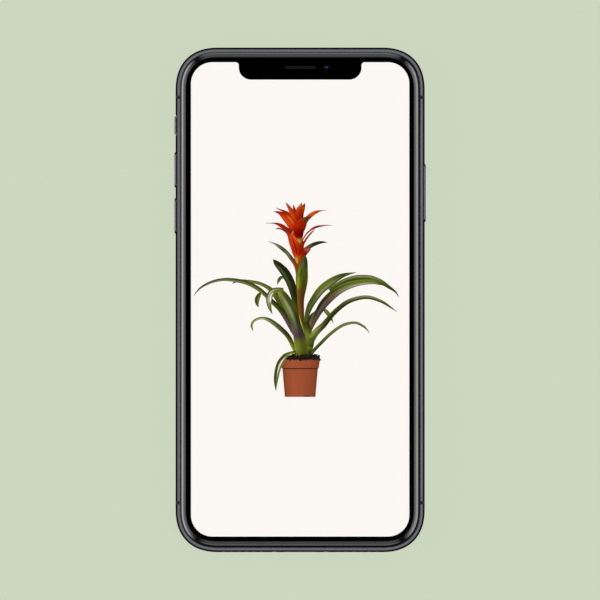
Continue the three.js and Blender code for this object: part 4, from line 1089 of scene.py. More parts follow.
# %% Leaves, from root to tip
PICTURED_LEAVES = {
    "back_left": (2, 0.2, [
        (-1.8, -8.9, 2, 0, "shadow_green"), (-3, -4.9, 2.3), (-4.6, -1.9, 2.3, 0, "deep_green"),
        (-6.3, 0.6, 2, 0.1), (-8, 2.6, 1.4, 0, "leaf_green"), (-10, 4, 1.05, 0.1), (-12.3, 4.9, 0.9, 0.15),
        (-14.9, 5.3, 0.85, 0.2), (-17.1, 5.5, 0.7, 0.1, "dull_green"), (-18.3, 5.2, 0.65),
        (-19.3, 4.6, 0.1),
    ]),
    "long_left": (3, -0.3, [
        (-1.2, -9.5, 2.15, 0, "plum"), (-2.6, -7.2, 2), (-4, -4.9, 1.8),
        (-5.7, -2.6, 1.55, 0, "deep_green"), (-8, -0.4, 1.3, 0.1), (-10, 1.6, 1.25, 0.1, "leaf_green"),
        (-12.3, 3.4, 1.25, 0.15), (-15.1, 4.8, 1.2, 0.2), (-18, 5.5, 1.1, 0.25), (-21.4, 5.8, 0.9, 0.3),
        (-24.5, 5.3, 0.8, 0.2, "dull_green"), (-27.3, 4.1, 0.65, 0.1), (-29.1, 2.7, 0.4), (-30.3, 1.1, 0.1),
    ]),
    "little_left": (1, -0.4, [
        (-11, 2.1, 0.3, 0, "dull_green"), (-11.6, 1.5, 1.05, 0, "leaf_green"), (-12.2, 0.2, 1.4, 0.2),
        (-12.2, -1.1, 0.95, 0.1), (-11.8, -2.1, 0.1, 0, "bright_green"),
    ]),
    "little_curl": (1, 0, [
        (-4, 5.5, 0.15, 0, "dull_green"), (-4.7, 6.3, 0.55), (-5.5, 6.3, 0.9, 0.1, "deep_green"),
        (-6.1, 5.5, 0.85, 0, "leaf_green"), (-6.5, 4.3, 0.1, 0, "bright_green"),
    ]),
    "broad_left": (4, -0.35, [
        (-0.2, -6.3, 2.3, 0, "shadow_green"), (-0.9, -2.1, 2.15, 0, "deep_green"),
        (-1.7, 1.6, 2.2, 0, "shadow_green"), (-2.7, 4.8, 2.45, 0.06), (-4.1, 7.5, 2.5, 0.08),
        (-5.7, 9.4, 2.1, 0.1), (-6.9, 10.6, 1.4), (-7.7, 11.5, 0.15),
    ]),
    "narrow_left": (5, 0.2, [
        (-0.9, 7.6, 0.75, 0, "brick"), (-1.1, 9.3, 1.05), (-1.7, 10.6, 1.15),
        (-2.6, 11.9, 1.15, 0, "umber"), (-3.6, 13.2, 1.1, 0.1, "dull_green"),
        (-4.9, 14.4, 1.05, 0.2, "shadow_green"), (-6.3, 15.4, 0.85, 0.2, "dull_green"),
        (-7.6, 16.1, 0.45, 0, "ash"), (-9.1, 16.6, 0.1),
    ]),
    "low_left": (7, -0.2, [
        (-0.9, -15.5, 1.15, 0, "bright_green"), (-1.8, -13.7, 1.2), (-2.6, -11.8, 1.3, 0, "leaf_green"),
        (-3.7, -10, 1.35, 0, "deep_green"), (-5.5, -8.2, 1.35, 0.1), (-7.2, -6.8, 1.3, 0.2, "leaf_green"),
        (-8.9, -5.7, 1.1, 0.5), (-10.6, -5.2, 0.8, 0.9, "bright_green"), (-12.3, -5.5, 0.7, 0.7),
        (-13.4, -6.3, 0.65, 0.3), (-13.8, -7.5, 0.65, 0.1), (-13.4, -8.8, 0.1, 0, "dull_green"),
    ]),
    "upright_right_back": (3, 0.4, [
        (1.3, -9.8, 0.85, 0, "shadow_green"), (1.6, -6.3, 1.25, 0, "deep_green"), (2.5, -2.3, 1.6, 0.1),
        (3.9, 0.1, 2, 0.2), (5.9, 2.8, 2.3, 0.35, "leaf_green"), (8.4, 4.9, 2.15, 0.3),
        (11.1, 6.5, 1.6, 0.1, "deep_green"), (13.3, 7.3, 0.85), (16, 7.8, 0.1, 0, "dull_green"),
    ]),
    "thin_between": (2, 0, [
        (1.2, -9.2, 0.45, 0, "yellow_green"), (1.8, -6.3, 0.5), (2.9, -3.1, 0.5, 0, "bright_green"),
        (4.5, -0.4, 0.5, 0.2, "yellow_green"), (6.5, 2.1, 0.5, 0.2, "bright_green"), (8.8, 3.9, 0.45, 0.3),
        (11.1, 5.1, 0.3, 0.2),
    ]),
    "arching_right_back": (4, -0.3, [
        (8.5, 2.5, 1.4, 0, "deep_green"), (10.8, 4.4, 1.4, 0.1, "leaf_green"), (13.2, 5.6, 1.4, 0.2),
        (16.2, 6.3, 1.55, 0.3), (19.9, 6.2, 1.6, 0.3), (23, 5.1, 1.4, 0.1),
        (25.3, 3.6, 0.9, 0, "deep_green"), (27.1, 2.3, 0.5, 0, "shadow_green"), (28.1, 0.7, 0.1),
    ]),
    "arching_right": (6, 0.55, [
        (1.9, -10.9, 1.3, 0, "olive"), (2.8, -8, 1.65, 0, "bark"), (4.2, -5.1, 1.95, 0, "plum"),
        (6.3, -1.9, 2.15), (9.2, 1.3, 2.35, 0.1, "umber"), (12.5, 3.5, 2.15, 0.4, "dull_green"),
        (16.5, 4.8, 1.7, 0.7, "leaf_green"), (20.5, 5.1, 1.3, 0.5), (23, 4.6, 0.85, 0, "deep_green"),
        (24.9, 3.8, 0.1),
    ]),
    "little_right": (1, 0.2, [
        (6.7, -2.6, 0.55, 0, "deep_green"), (7.4, -3.3, 1.15, 0.2, "leaf_green"), (8.4, -4.5, 1.05, 0.1),
        (9, -5.6, 0.55, 0, "dull_green"), (9.4, -6.7, 0.1),
    ]),
    "low_right": (8, -0.3, [
        (2.5, -14.3, 2, 0, "bright_green"), (3.1, -11.5, 2.1, 0.1, "leaf_green"),
        (4.5, -9.2, 2, 0.3, "bright_green"), (6.7, -7.1, 1.65, 0.1, "deep_green"), (9.4, -3.9, 1.4),
        (12.8, -1, 1.3, 0.1), (16.2, 0.4, 1.15, 0.3, "leaf_green"), (19.6, 0.7, 1.05, 0.4),
        (23, -0.4, 0.85, 0.1), (25.3, -1.8, 0.55, 0, "deep_green"), (27.5, -3.4, 0.1, 0, "dull_green"),
    ]),
    "thin_right": (7, 0.3, [
        (3.1, -15.6, 0.95, 0, "leaf_green"), (3.9, -14.4, 0.95, 0, "deep_green"), (5.7, -12.5, 0.95),
        (8.8, -9.5, 0.9, 0.1, "leaf_green"), (12.2, -7.2, 0.85, 0.3), (15.6, -6.5, 0.75, 0.4),
        (17.8, -7.4, 0.65, 0.1), (18.9, -8.3, 0.4, 0, "dull_green"), (19.8, -9.6, 0.1),
    ]),
    "centre_sheath": (6, -0.2, [
        (0.6, -9.8, 0.85, 0, "olive"), (0.5, -6.9, 1.15, 0, "bark"), (0.4, -4.1, 1.5, 0, "brick"),
        (0.2, -1.2, 1.8), (0.2, 0.8, 2.1, 0, "bark"), (0.3, 2.5, 2.6), (0.4, 4.2, 3.15, 0, "olive"),
        (0.6, 6.2, 3.25, 0, "leaf_green"), (0.8, 8.5, 2.8), (1.1, 10.5, 2.15, 0.1, "deep_green"),
        (1.3, 11.7, 1.4), (1.5, 12.6, 0.3),
    ]),
    "sheath_glow": (7, 0, [
        (-0.2, 2.5, 0.4, 0, "brick"), (-0.3, 3.6, 1.05, 0, "gold_green"), (-0.2, 5.3, 1.25),
        (0.1, 7.3, 0.9, 0, "leaf_green"), (0.4, 9.3, 0.15),
    ]),
    "base_back": (8, 0.5, [
        (0.8, -16, 4, 0, "shadow_green"), (1.2, -13.7, 4.85, 0, "deep_green"),
        (1.4, -11.8, 5.15, 0, "leaf_green"), (1.4, -9.8, 4.25, 0, "moss"), (1.4, -8, 3.4, 0, "deep_green"),
        (1.5, -6.3, 1.7, 0, "shadow_green"),
    ]),
    "front_blade": (10, -0.25, [
        (0.5, -15.9, 3.4, 0, "olive"), (0.4, -14, 3.75, 0, "moss"), (0.1, -12.2, 3.6),
        (-0.3, -10.2, 3.35, 0, "plum"), (-0.8, -7.9, 3.1, 0.1), (-1.5, -5.5, 3, 0.3, "deep_green"),
        (-2.4, -3.1, 3.1, 0.5, "leaf_green"), (-3.6, -0.9, 3, 0.5), (-4.7, 1, 2.55, 0.3),
        (-5.6, 2.3, 1.8, 0.1, "bright_green"), (-6.4, 2.9, 0.85),
    ]),
    "front_curl": (11, 0.25, [
        (-4.7, 3, 0.75, 0, "leaf_green"), (-6.3, 2.9, 1.3, 0.3), (-7.9, 2.3, 1.8, 0.9),
        (-8.7, 0.9, 1.8, 1, "dull_green"), (-8.9, -0.6, 1.5, 0.9, "leaf_green"), (-8.6, -2.3, 0.95, 0.2),
        (-7.9, -4.1, 0.1, 0, "deep_green"),
    ]),
    "curl_shine": (12, 0, [
        (-7.6, 2.1, 0.15, 0, "shine"), (-8.4, 1.2, 0.55), (-8.6, -0.1, 0.65),
        (-8.5, -1.5, 0.15, 0, "leaf_green"),
    ]),
    "front_edge": (12, 0, [
        (1.3, -9.5, 0.3, 0, "moss"), (0.8, -7.9, 0.45, 0, "bright_green"),
        (0.2, -6.1, 0.35, 0, "yellow_green"), (-0.3, -4.1, 0.15, 0, "bright_green"),
    ]),
    "right_lobe": (5, 0, [
        (1.9, -9.2, 0.75, 0, "deep_green"), (2.6, -6.5, 1.25, 0, "shadow_green"), (3.3, -4.6, 1.15),
        (4.1, -3.4, 0.3, 0, "deep_green"),
    ]),
    "arching_right_fold": (7, 0, [
        (3.1, -6.9, 0.25, 0, "leaf_green"), (4.6, -3.4, 0.65, 0, "shadow_green"), (6, -0.8, 0.85),
        (8.6, 2, 0.85, 0, "deep_green"), (11.9, 4, 0.65, 0, "leaf_green"), (15.3, 5.2, 0.15),
    ]),
    "pot_leaf_shine": (14, 0, [
        (-3.7, -15.9, 0.1, 0, "dull_green"), (-4.9, -17, 0.35, 0, "shine"), (-5.9, -18.6, 0.45),
        (-6.4, -20.4, 0.25), (-6.7, -22, 0.1, 0, "dull_green"),
    ]),
    "over_the_pot": (13, -0.3, [
        (-1.2, -14.8, 0.75, 0, "deep_green"), (-2.7, -15.1, 0.85, 0.1, "bright_green"),
        (-4.3, -16, 1.3, 0.3, "leaf_green"), (-5.7, -17.9, 1.7, 0.5), (-6.5, -20.4, 1.6, 0.4),
        (-6.9, -23.1, 1.15, 0.1), (-6.9, -25.9, 0.1, 0, "dull_green"),
    ]),
}
print(len(PICTURED_LEAVES), "leaves")

# %% Bracts and stem, from root to tip
PICTURED_BRACTS = {
    "stem": (3, 0, [
        (-0.6, 2.2, 0.85, 0, "olive"), (-0.8, 5.3, 0.85, 0, "umber"), (-0.8, 7.9, 0.85, 0, "shadow_brown"),
        (-0.7, 10.2, 1.3, 0, "crimson"), (-0.8, 12.5, 2, 0, "orange_red"), (-0.8, 14.7, 2.3, 0, "red"),
    ]),
    "right_dark_leaf": (4, 0.2, [
        (0.4, 12.9, 0.95, 0, "red"), (1.4, 14.2, 1.25, 0, "crimson"), (2.6, 15.1, 1.2, 0, "umber"),
        (3.9, 15.8, 1.1, 0, "shadow_green"), (5.5, 16.3, 0.85), (6.7, 16.4, 0.5), (7.7, 16.3, 0.1),
    ]),
    "right_low": (5, -0.2, [
        (-0.7, 9, 0.7, 0, "crimson"), (-0.3, 10.8, 1.3, 0, "orange_red"), (0.6, 12.6, 1.75, 0, "red"),
        (1.4, 13.6, 1.7, 0, "crimson"), (2.1, 14, 1.3, 0, "coral"), (2.7, 14.2, 0.55), (3.1, 14.5, 0.1),
    ]),
    "right_thin_high": (9, 0, [
        (0.7, 17, 0.35, 0, "red"), (1.6, 18.5, 0.4), (2.9, 19.8, 0.5), (4.2, 20.6, 0.65, 0, "crimson"),
        (5.8, 21, 0.5), (7.5, 21.2, 0.3, 0, "ash"), (9, 21.2, 0.1),
    ]),
    "right_thin_low": (8, 0, [
        (0.5, 14.2, 0.65, 0, "red"), (1, 16.1, 0.65), (2.1, 17.8, 0.5, 0, "crimson"), (3.2, 19.1, 0.4),
        (4.2, 20.1, 0.15, 0, "coral"),
    ]),
    "crown_small": (6, 0, [
        (-0.9, 21.6, 1.4, 0, "red"), (-1.4, 24.4, 1.3), (-1.7, 25.9, 0.75, 0, "crimson"), (-2, 27.1, 0.1),
    ]),
    "crown_right": (7, 0.2, [
        (0, 21, 1.7, 0, "deep_red"), (0.2, 24.2, 1.6, 0, "red"), (0.8, 26, 1.15, 0, "orange_red"),
        (1.1, 26.9, 0.7, 0, "shadow_brown"), (1.2, 27.5, 0.1),
    ]),
    "crown": (8, 0, [
        (-0.8, 19.3, 2, 0, "deep_red"), (-0.8, 22, 2.15), (-0.6, 23.9, 2.2, 0, "red"),
        (-0.2, 25.7, 1.7, 0, "orange_red"), (0.2, 26.8, 0.9, 0, "orange"),
        (0.4, 27.7, 0.1, 0, "orange_red"),
    ]),
    "crown_left": (9, 0.2, [
        (-0.9, 19.9, 1.4, 0, "deep_red"), (-1.6, 22.7, 1.7, 0, "orange_red"), (-2.4, 25, 1.4),
        (-3.3, 26.5, 0.85), (-4.1, 27.7, 0.1, 0, "crimson"),
    ]),
    "right_high": (8, 0.2, [
        (0.5, 20.4, 1.15, 0, "red"), (1.8, 22.8, 1.3, 0, "orange_red"), (2.6, 23.7, 1.3),
        (3.6, 24.5, 1.15, 0, "orange"), (4.9, 25.1, 0.75, 0, "orange_red"), (6.2, 25.4, 0.3, 0, "ash"),
        (7.5, 25.5, 0.1),
    ]),
    "left_thin_high": (8.5, 0, [
        (-1.8, 21.6, 1.15, 0, "deep_red"), (-2.3, 23.1, 1.25, 0, "red"), (-3.2, 24.2, 1.15),
        (-4.3, 25, 0.85), (-5.6, 25.6, 0.4, 0, "crimson"), (-6.9, 26.2, 0.1),
    ]),
    "left_high": (10, 0.2, [
        (-1.2, 19, 1.4, 0, "deep_red"), (-1.9, 20.6, 2.35, 0, "red"), (-2.9, 22.2, 2.6, 0, "orange_red"),
        (-4.3, 23.6, 2), (-5.6, 24.6, 1.1, 0, "red"), (-6.7, 25, 0.5, 0, "crimson"),
        (-7.6, 25.1, 0.1, 0, "shadow_brown"),
    ]),
    "left_high_glow": (11, 0, [
        (-1.5, 21, 0.3, 0, "orange_red"), (-2.2, 22.4, 0.85, 0, "orange"), (-3.2, 23.6, 0.7),
        (-4.1, 24.3, 0.15, 0, "orange_red"),
    ]),
    "left_mid": (7, 0, [
        (-1.8, 18.2, 1.4, 0, "red"), (-3.1, 19.3, 1.6), (-4.3, 20.3, 1.4), (-5.6, 21.2, 1.05),
        (-6.9, 21.7, 0.5, 0, "crimson"), (-8.3, 21.8, 0.25, 0, "ash"), (-9.9, 21.8, 0.1),
    ]),
    "left_dark": (9, 0, [
        (-2.3, 17.9, 0.95, 0, "crimson"), (-3.3, 18.7, 0.9, 0, "umber"),
        (-4.1, 19.5, 0.65, 0, "shadow_brown"), (-5.2, 20, 0.35), (-6.1, 20.3, 0.45),
        (-7.1, 20.2, 0.1, 0, "ash"),
    ]),
    "front_high": (13, -0.3, [
        (0.1, 16.2, 0.3, 0, "gold"), (0, 17, 1.3), (-0.2, 17.9, 2.05, 0, "deep_red"), (-0.3, 19.5, 2.8),
        (0, 20.9, 3.25, 0, "red"), (0.6, 22, 2.95), (1.4, 22.8, 1.7, 0, "brick"),
        (2.7, 23.6, 0.15, 0, "shadow_brown"),
    ]),
    "front_high_curl": (14, 0, [
        (0.4, 22.9, 0.15, 0, "brick"), (1.3, 23.2, 0.4, 0, "shadow_brown"), (2.1, 23.5, 0.45),
        (2.8, 23.7, 0.1),
    ]),
    "front_low": (11, 0.2, [
        (-0.8, 10.4, 0.45, 0, "gold"), (-0.9, 11.5, 1.05), (-0.9, 12.6, 1.9, 0, "orange_red"),
        (-1, 14.3, 2.95, 0, "red"), (-1.3, 16.3, 3.65, 0, "orange_red"), (-2.2, 18, 2.95),
        (-3.3, 19.1, 1.4, 0, "crimson"), (-4.1, 19.7, 0.15, 0, "umber"),
    ]),
    "front_low_rim": (12, 0, [
        (0.1, 15.7, 0.15, 0, "orange"), (-0.7, 16.8, 0.5), (-1.6, 17.9, 0.65),
        (-2.6, 18.9, 0.25, 0, "orange_red"),
    ]),
    "front_low_edge": (12, 0, [
        (-1.5, 11.9, 0.35, 0, "orange"), (-2.2, 14, 0.55, 0, "orange_red"), (-2.7, 16.2, 0.45),
        (-3.3, 18.2, 0.15, 0, "crimson"),
    ]),
    "front_low_vein": (12, 0, [
        (-0.8, 12.8, 0.15, 0, "deep_red"), (-1.2, 14.5, 0.35), (-1.8, 16.3, 0.35),
        (-2.5, 17.9, 0.1, 0, "red"),
    ]),
    "front_low_right": (10, 0.2, [
        (-0.5, 11.3, 0.85, 0, "orange"), (0.1, 13.6, 1.4, 0, "red"), (0.4, 15.6, 1.4),
        (0.7, 17, 0.3, 0, "deep_red"),
    ]),
    "yellow_axil": (13, 0, [
        (-2.4, 18.6, 0.15, 0, "gold"), (-2.1, 19.1, 0.45), (-2, 19.6, 0.1),
    ]),
}
print(len(PICTURED_BRACTS), "bracts")

# %% [markdown]
# A path is a row of points joined by edges. It carries its width, colour and sheen as attributes,
# so when the tree rounds it into a smooth curve and spreads it into a strip, they are spread with
# it. Two more numbers say how far along and across the strip each point is. The finish draws veins
# along the strip, shades one side of its fold, and lays the sheen where the sheet turns to the sky.

# %% A strip along a curve
PICTURE_BOTTOM = MASK_BOTTOM + 0.008
LAYER_STEP = 0.005
blade = Shape("strip along a curve")


def stepped(curve, count_name, value_name, value):
    """A curve in as many steps as an input says, with a value kept at each of its points."""
    steps = blade.input(count_name, "whole")
    fine = blade.node("GeometryNodeResampleCurve", {"Curve": curve, "Count": steps})
    sockets = {"Geometry": fine, "Name": value_name, "Value": value}
    return blade.node("GeometryNodeStoreNamedAttribute", sockets)


share = blade.node("GeometryNodeSplineParameter", output="Factor")
path_curve = blade.node("GeometryNodeMeshToCurve", {"Mesh": blade.start()})
rounded = blade.node("GeometryNodeCurveSplineType", {"Curve": path_curve}, {"spline_type": "CATMULL_ROM"})
kept = stepped(rounded, "Steps along", "along", share)
level_curve = blade.node("GeometryNodeSetCurveNormal", {"Curve": kept}, {"mode": "Z_UP"})
cross_line = blade.node("GeometryNodeCurvePrimitiveLine", {"Start": (-1, 0, 0), "End": (1, 0, 0)})
strip = blade.node("GeometryNodeCurveToMesh", {
    "Curve": level_curve, "Profile Curve": stepped(cross_line, "Steps across", "across", share * 2 - 1),
    "Scale": blade.node("GeometryNodeInputNamedAttribute", {"Name": "half_width"}),
})
leaf_tree = blade.done(strip)


def paths_mesh(rows):
    """Every strip's stations as points joined by edges, with their attributes."""
    points, edges, widths, paints, lit_places = [], [], [], [], []
    colour = "umber"
    for layer, lit, stations in rows.values():
        height = PICTURE_BOTTOM + layer * LAYER_STEP
        for index, (x, y, width, *look) in enumerate(stations):
            if index:
                edges.append((len(points) - 1, len(points)))
            sheen = look[0] if look else 0.0
            colour = look[1] if len(look) > 1 else colour
            points.append(Vector((x, y, height)) * MM)
            widths.append(width / 2 * MM)
            paints.extend((*PLANT_COLOURS[colour], sheen))
            lit_places.append(lit)
    mesh = bpy.data.meshes.new("paths")
    mesh.from_pydata(points, edges, [])
    mesh.attributes.new("half_width", "FLOAT", "POINT").data.foreach_set("value", widths)
    mesh.attributes.new("paint", "FLOAT_COLOR", "POINT").data.foreach_set("color", paints)
    mesh.attributes.new("lit", "FLOAT", "POINT").data.foreach_set("value", lit_places)
    return mesh


print("strips lie from", round(PICTURE_BOTTOM, 3), "mm up")

# %% Finish of the pictured leaves
DRAWN_ROUGHNESS = 0.6
VEINS_ACROSS = 7
VEINS_ALONG = 2.5
VEINS_PER_LAYER = 40
RIM_BEGINS = 0.72
SHEEN_REACH = 0.55


def leaf_finish(name, vein_depth, edge_depth, fold_depth, sheen_colour):
    """A drawing of a leaf in light: veins along it, a shaded fold and a sheen."""
    leaf = screen_finish(name, Roughness=DRAWN_ROUGHNESS)
    along, across, lit = leaf.read("along"), leaf.read("across"), leaf.read("lit")
    height = leaf.parts(leaf.place())[2] / MM
    vein_place = leaf.vector(across * VEINS_ACROSS, along * VEINS_ALONG, height * VEINS_PER_LAYER)
    vein_sockets = {"Vector": vein_place, "Scale": 1.6, "Detail": 3.0, "Roughness": 0.6}
    veins = leaf.node("ShaderNodeTexNoise", vein_sockets)
    fold = leaf.smooth(across - lit, -0.6, 0.6)
    rim = leaf.smooth(abs(across), RIM_BEGINS, 1.0)
    vein_light = 1 - vein_depth + 2 * vein_depth * veins
    fold_light = 1 + fold_depth - 2 * fold_depth * fold
    shaded = leaf.scaled(leaf.read("paint", "Color"), vein_light * fold_light * (1 - edge_depth * rim))
    on_sheen = 1 - leaf.smooth(abs(across - lit), 0.0, SHEEN_REACH)
    glint = leaf.read("paint", "Alpha") * on_sheen * (0.7 + 0.6 * veins)
    return leaf.paint(Emission_Color=leaf.mix(shaded, sheen_colour, glint))


green_leaf = leaf_finish("pictured green leaf", 0.45, -0.35, 0.42, (0.45, 0.46, 0.32))
red_bract = leaf_finish("pictured red bract", 0.45, 0.3, 0.3, (0.7, 0.2, 0.1))


def drawn(name, mesh, finish):
    """A flat part of the picture, facing up."""
    made = piece(name, mesh, finish, sharp=math.pi)
    shape = bmesh.new()
    shape.from_mesh(made.data)
    shape.normal_update()
    bmesh.ops.reverse_faces(shape, faces=[face for face in shape.faces if face.normal.z < 0])
    shape.to_mesh(made.data)
    shape.free()
    return made


def strips(rows, finish, along=56, across=9):
    return grown(leaf_tree, paths_mesh(rows), finish, steps_along=along, steps_across=across)


leaves = drawn("picture_leaves", strips(PICTURED_LEAVES, green_leaf), green_leaf)
bracts = drawn("picture_bracts", strips(PICTURED_BRACTS, red_bract), red_bract)
print("picture:", len(leaves.data.polygons) + len(bracts.data.polygons), "faces")

# %% [markdown]
# The pot is a plain clay one: a tapered body under a straight rim, with a drain notch at its foot.
# In a flat picture it is three strips, and its roundness is in how the light falls off to both
# sides. The soil is a heap of dark crumbs, which a tree scatters along the rim.

# %% Pot
CLAY = (0.328, 0.077, 0.031)
POT_ROUNDNESS = [(0.0, 0.62), (0.12, 0.92), (0.3, 1.12), (0.62, 1.0), (0.9, 0.8), (1.0, 0.55)]
clay = screen_finish("pictured clay", Roughness=DRAWN_ROUGHNESS)
stops = [(place, (light, light, light)) for place, light in POT_ROUNDNESS]
shade = clay.node("ShaderNodeValToRGB", {"Fac": clay.read("across") * 0.5 + 0.5}, {"stops": stops})
streak = clay.noise(clay.stretched(clay.place(), (1.0, 0.2, 1.0)), 1600.0, 3.0)
clay.paint(Emission_Color=clay.scaled(CLAY, clay.parts(shade)[0] * (0.9 + 0.2 * streak)))
POT = {
    "body": (7, 0, [(0, -27.6, 8.7), (0, -19.0, 10.2)]),
    "rim": (9, 0, [(0, -19.4, 10.5), (0, -19.1, 10.7), (0, -16.7, 11.3)]),
}
POT_SHADOW = {
    "under rim": (8, 0, [(0, -19.7, 10.0), (0, -19.3, 10.3)]),
    "notch": (8, 0, [(1.0, -27.5, 0.2), (1.8, -27.4, 0.4), (2.6, -27.4, 0.3)]),
}
pot = drawn("picture_pot", strips(POT, clay, along=24, across=25), clay)
dark = screen_finish("pictured shadow", Roughness=DRAWN_ROUGHNESS)
blur = dark.noise(dark.place(), 2500.0)
dark.paint(Emission_Color=dark.mix((0.030, 0.008, 0.004), (0.075, 0.020, 0.010), blur))
drawn("picture_pot_shadow", strips(POT_SHADOW, dark, along=12), dark)
print("pot", len(pot.data.polygons), "faces")

# %% Soil crumbs on a bed of soil
CRUMB_SEED = 7
CRUMB_COLUMNS = 26
CRUMB_ROWS = 4
CRUMB_RADIUS = 0.34 * MM
CRUMB_SMALLEST = (0.45, 0.35, 1.0)
CRUMB_LARGEST = (1.25, 1.0, 1.0)
HEAP_SIZE = (10.2 * MM, 1.2 * MM)
HEAP_PLACE = (0.3 * MM, -16.2 * MM, (PICTURE_BOTTOM + 10.5 * LAYER_STEP) * MM)
HEAP_JITTER = Vector((0.3, 0.4, 0.0)) * MM
ANY_TURN = (0.0, 0.0, 6.28)
SOIL_BED = {
    "bed": (8, 0, [
        (-4.2, -16.6, 0.6), (-2.0, -16.2, 1.3), (1.0, -16.1, 1.4), (4.0, -16.2, 1.2), (5.4, -16.5, 0.5),
    ]),
    "crumb line": (10, 0, [
        (-4.6, -16.8, 0.3), (-2.4, -16.7, 0.7), (0, -16.8, 0.5), (2.6, -16.7, 0.7), (5.4, -16.7, 0.3),
    ]),
}
soil_shape = Shape("crumbs in a heap")


def any_vector(low, high, seed):
    sockets = {0: low, 1: high, "Seed": seed}
    return soil_shape.node("FunctionNodeRandomValue", sockets, {"data_type": "FLOAT_VECTOR"})


heap = soil_shape.node("GeometryNodeMeshGrid", {
    "Size X": HEAP_SIZE[0], "Size Y": HEAP_SIZE[1],
    "Vertices X": soil_shape.input("Columns", "whole"), "Vertices Y": soil_shape.input("Rows", "whole"),
})
jitter = any_vector(-HEAP_JITTER, HEAP_JITTER, CRUMB_SEED)
spread = soil_shape.node("GeometryNodeSetPosition", {"Geometry": heap, "Offset": jitter})
round_crumb = {"Vertices": 7, "Radius": CRUMB_RADIUS}
crumb = soil_shape.node("GeometryNodeMeshCircle", round_crumb, {"fill_type": "NGON"})
size = any_vector(CRUMB_SMALLEST, CRUMB_LARGEST, CRUMB_SEED + 1)
turn = any_vector((0.0, 0.0, 0.0), ANY_TURN, CRUMB_SEED + 2)
crumbs = soil_shape.node("GeometryNodeInstanceOnPoints", {
    "Points": spread, "Instance": crumb, "Scale": size,
    "Rotation": soil_shape.node("FunctionNodeEulerToRotation", {"Euler": turn}),
})
moved = soil_shape.node("GeometryNodeTransform", {"Geometry": crumbs, "Translation": HEAP_PLACE})
soil_tree = soil_shape.done(moved)
peat = screen_finish("pictured soil", Roughness=DRAWN_ROUGHNESS)
clod = peat.noise(peat.place(), 5000.0, 3.0)
peat.paint(Emission_Color=peat.mix((0.004, 0.003, 0.003), (0.045, 0.032, 0.026), clod * clod))
loose_crumbs = grown(soil_tree, finish=peat, columns=CRUMB_COLUMNS, rows=CRUMB_ROWS)
soil = drawn("picture_soil", together(loose_crumbs, strips(SOIL_BED, peat, along=30, across=5)), peat)
print("soil", len(soil.data.polygons), "crumbs")

# %% [markdown]
# ## Buttons and ring switch
#
# A button is a pill of the same steel, with a satin coat and a flange inside the wall that keeps it
# in its slot. Its edge is well rounded and its face a little crowned, so that light runs along it. The
# ring switch is a pad on a flange, and a strip of colour on the flange comes into view when the pad
# is moved to its other end.

# %% Buttons
CONTROL_PROUD = 0.33
CONTROL_INNER = HALF_WIDTH - 2.5
CONTROL_FACE = HALF_WIDTH + CONTROL_PROUD
FLANGE_THICKNESS = 0.4
FLANGE_TOP = CONTROL_INNER + FLANGE_THICKNESS
FLANGE_REACH = 0.35
EDGE_ROUND = 0.4
CROWN = 0.03


def crowned(face, crown_reach):
    """The levels of a rounded edge and a crown, up to the face's own height."""
    shoulder = face - CROWN
    levels = []
    for step in range(7):
        turn = math.pi / 2 * step / 6
        levels.append((EDGE_ROUND * (1 - math.cos(turn)), shoulder - EDGE_ROUND * (1 - math.sin(turn))))
    for share in (0.35, 0.7, 1.0):
        levels.append((EDGE_ROUND + crown_reach * share, shoulder + CROWN * (1 - (1 - share) ** 2)))
    return levels


for name, (side, near, far) in BUTTONS.items():
    flange = [(-FLANGE_REACH, CONTROL_INNER), (-FLANGE_REACH, FLANGE_TOP), (0, FLANGE_TOP)]
    button_loop = pill_loop(far - near, CONTROL_WIDTH)
    levels = flange + crowned(CONTROL_FACE, 1.0)
    button = side_shape(side, button_middle(near, far), button_loop, levels)
    piece(f"{name}_cap", button, button_coat, body=name, instead_of=name)
print("three buttons,", CONTROL_PROUD, "mm proud")

# %% Ring switch, with its strip of colour
SWITCH_FLANGE = (6.2, 3.1)
SWITCH_FLANGE_RISE = 0.2
STRIP = (4.4, 0.45)
STRIP_RISE = 1.45


def switch_shape(loop, levels, rise=0.0):
    """A part of the switch, lifted above its middle, with the switch at the end of its travel."""
    mesh = side_shape(-1, SWITCH_Y, loop, levels)
    mesh.transform(Matrix.Translation((0, 0, rise * MM)))
    mesh.transform(Matrix.Translation((0, 0, SWITCH_TRAVEL / 2 * MM)))
    return mesh


pad = switch_shape(rounded_loop(*SWITCH_PAD), [(0, FLANGE_TOP - 0.1), *crowned(CONTROL_FACE, 0.45)])
flange = switch_shape(rounded_loop(*SWITCH_FLANGE, 0.4), [
    (0, CONTROL_INNER), (0, FLANGE_TOP - 0.05), (0.05, FLANGE_TOP),
], SWITCH_FLANGE_RISE)
colour_strip = switch_shape(rounded_loop(*STRIP, 0.2), [
    (0, FLANGE_TOP - 0.02), (0, FLANGE_TOP + 0.02), (0.02, FLANGE_TOP + 0.03),
], STRIP_RISE)
switch = carved(pad, flange, operation="UNION")
piece("ring_switch_pad", switch, button_coat, body="ring_switch", instead_of="ring_switch")
warning_paint = grained(
    "orange paint", (0.75, 0.13, 0.02), (0.62, 0.10, 0.015), per_metre=4000.0, roughness=0.4, spread=0.2,
    Specular_IOR_Level=0.4,
)
piece("ring_switch_strip", colour_strip, warning_paint, body="ring_switch")
print("the strip is", STRIP, "mm")

# %% [markdown]
# ## Card tray
#
# The tray's face continues the half-round band, so it is cut from the band's own section. Behind it
# is a frame with a seat for a card, a rim for the card to lie on, and an opening in the middle. A
# pin pushed into the small hole in its face drives the tray out. Only the face is polished like the
# band. The frame behind it is satin, so the finish changes with depth.

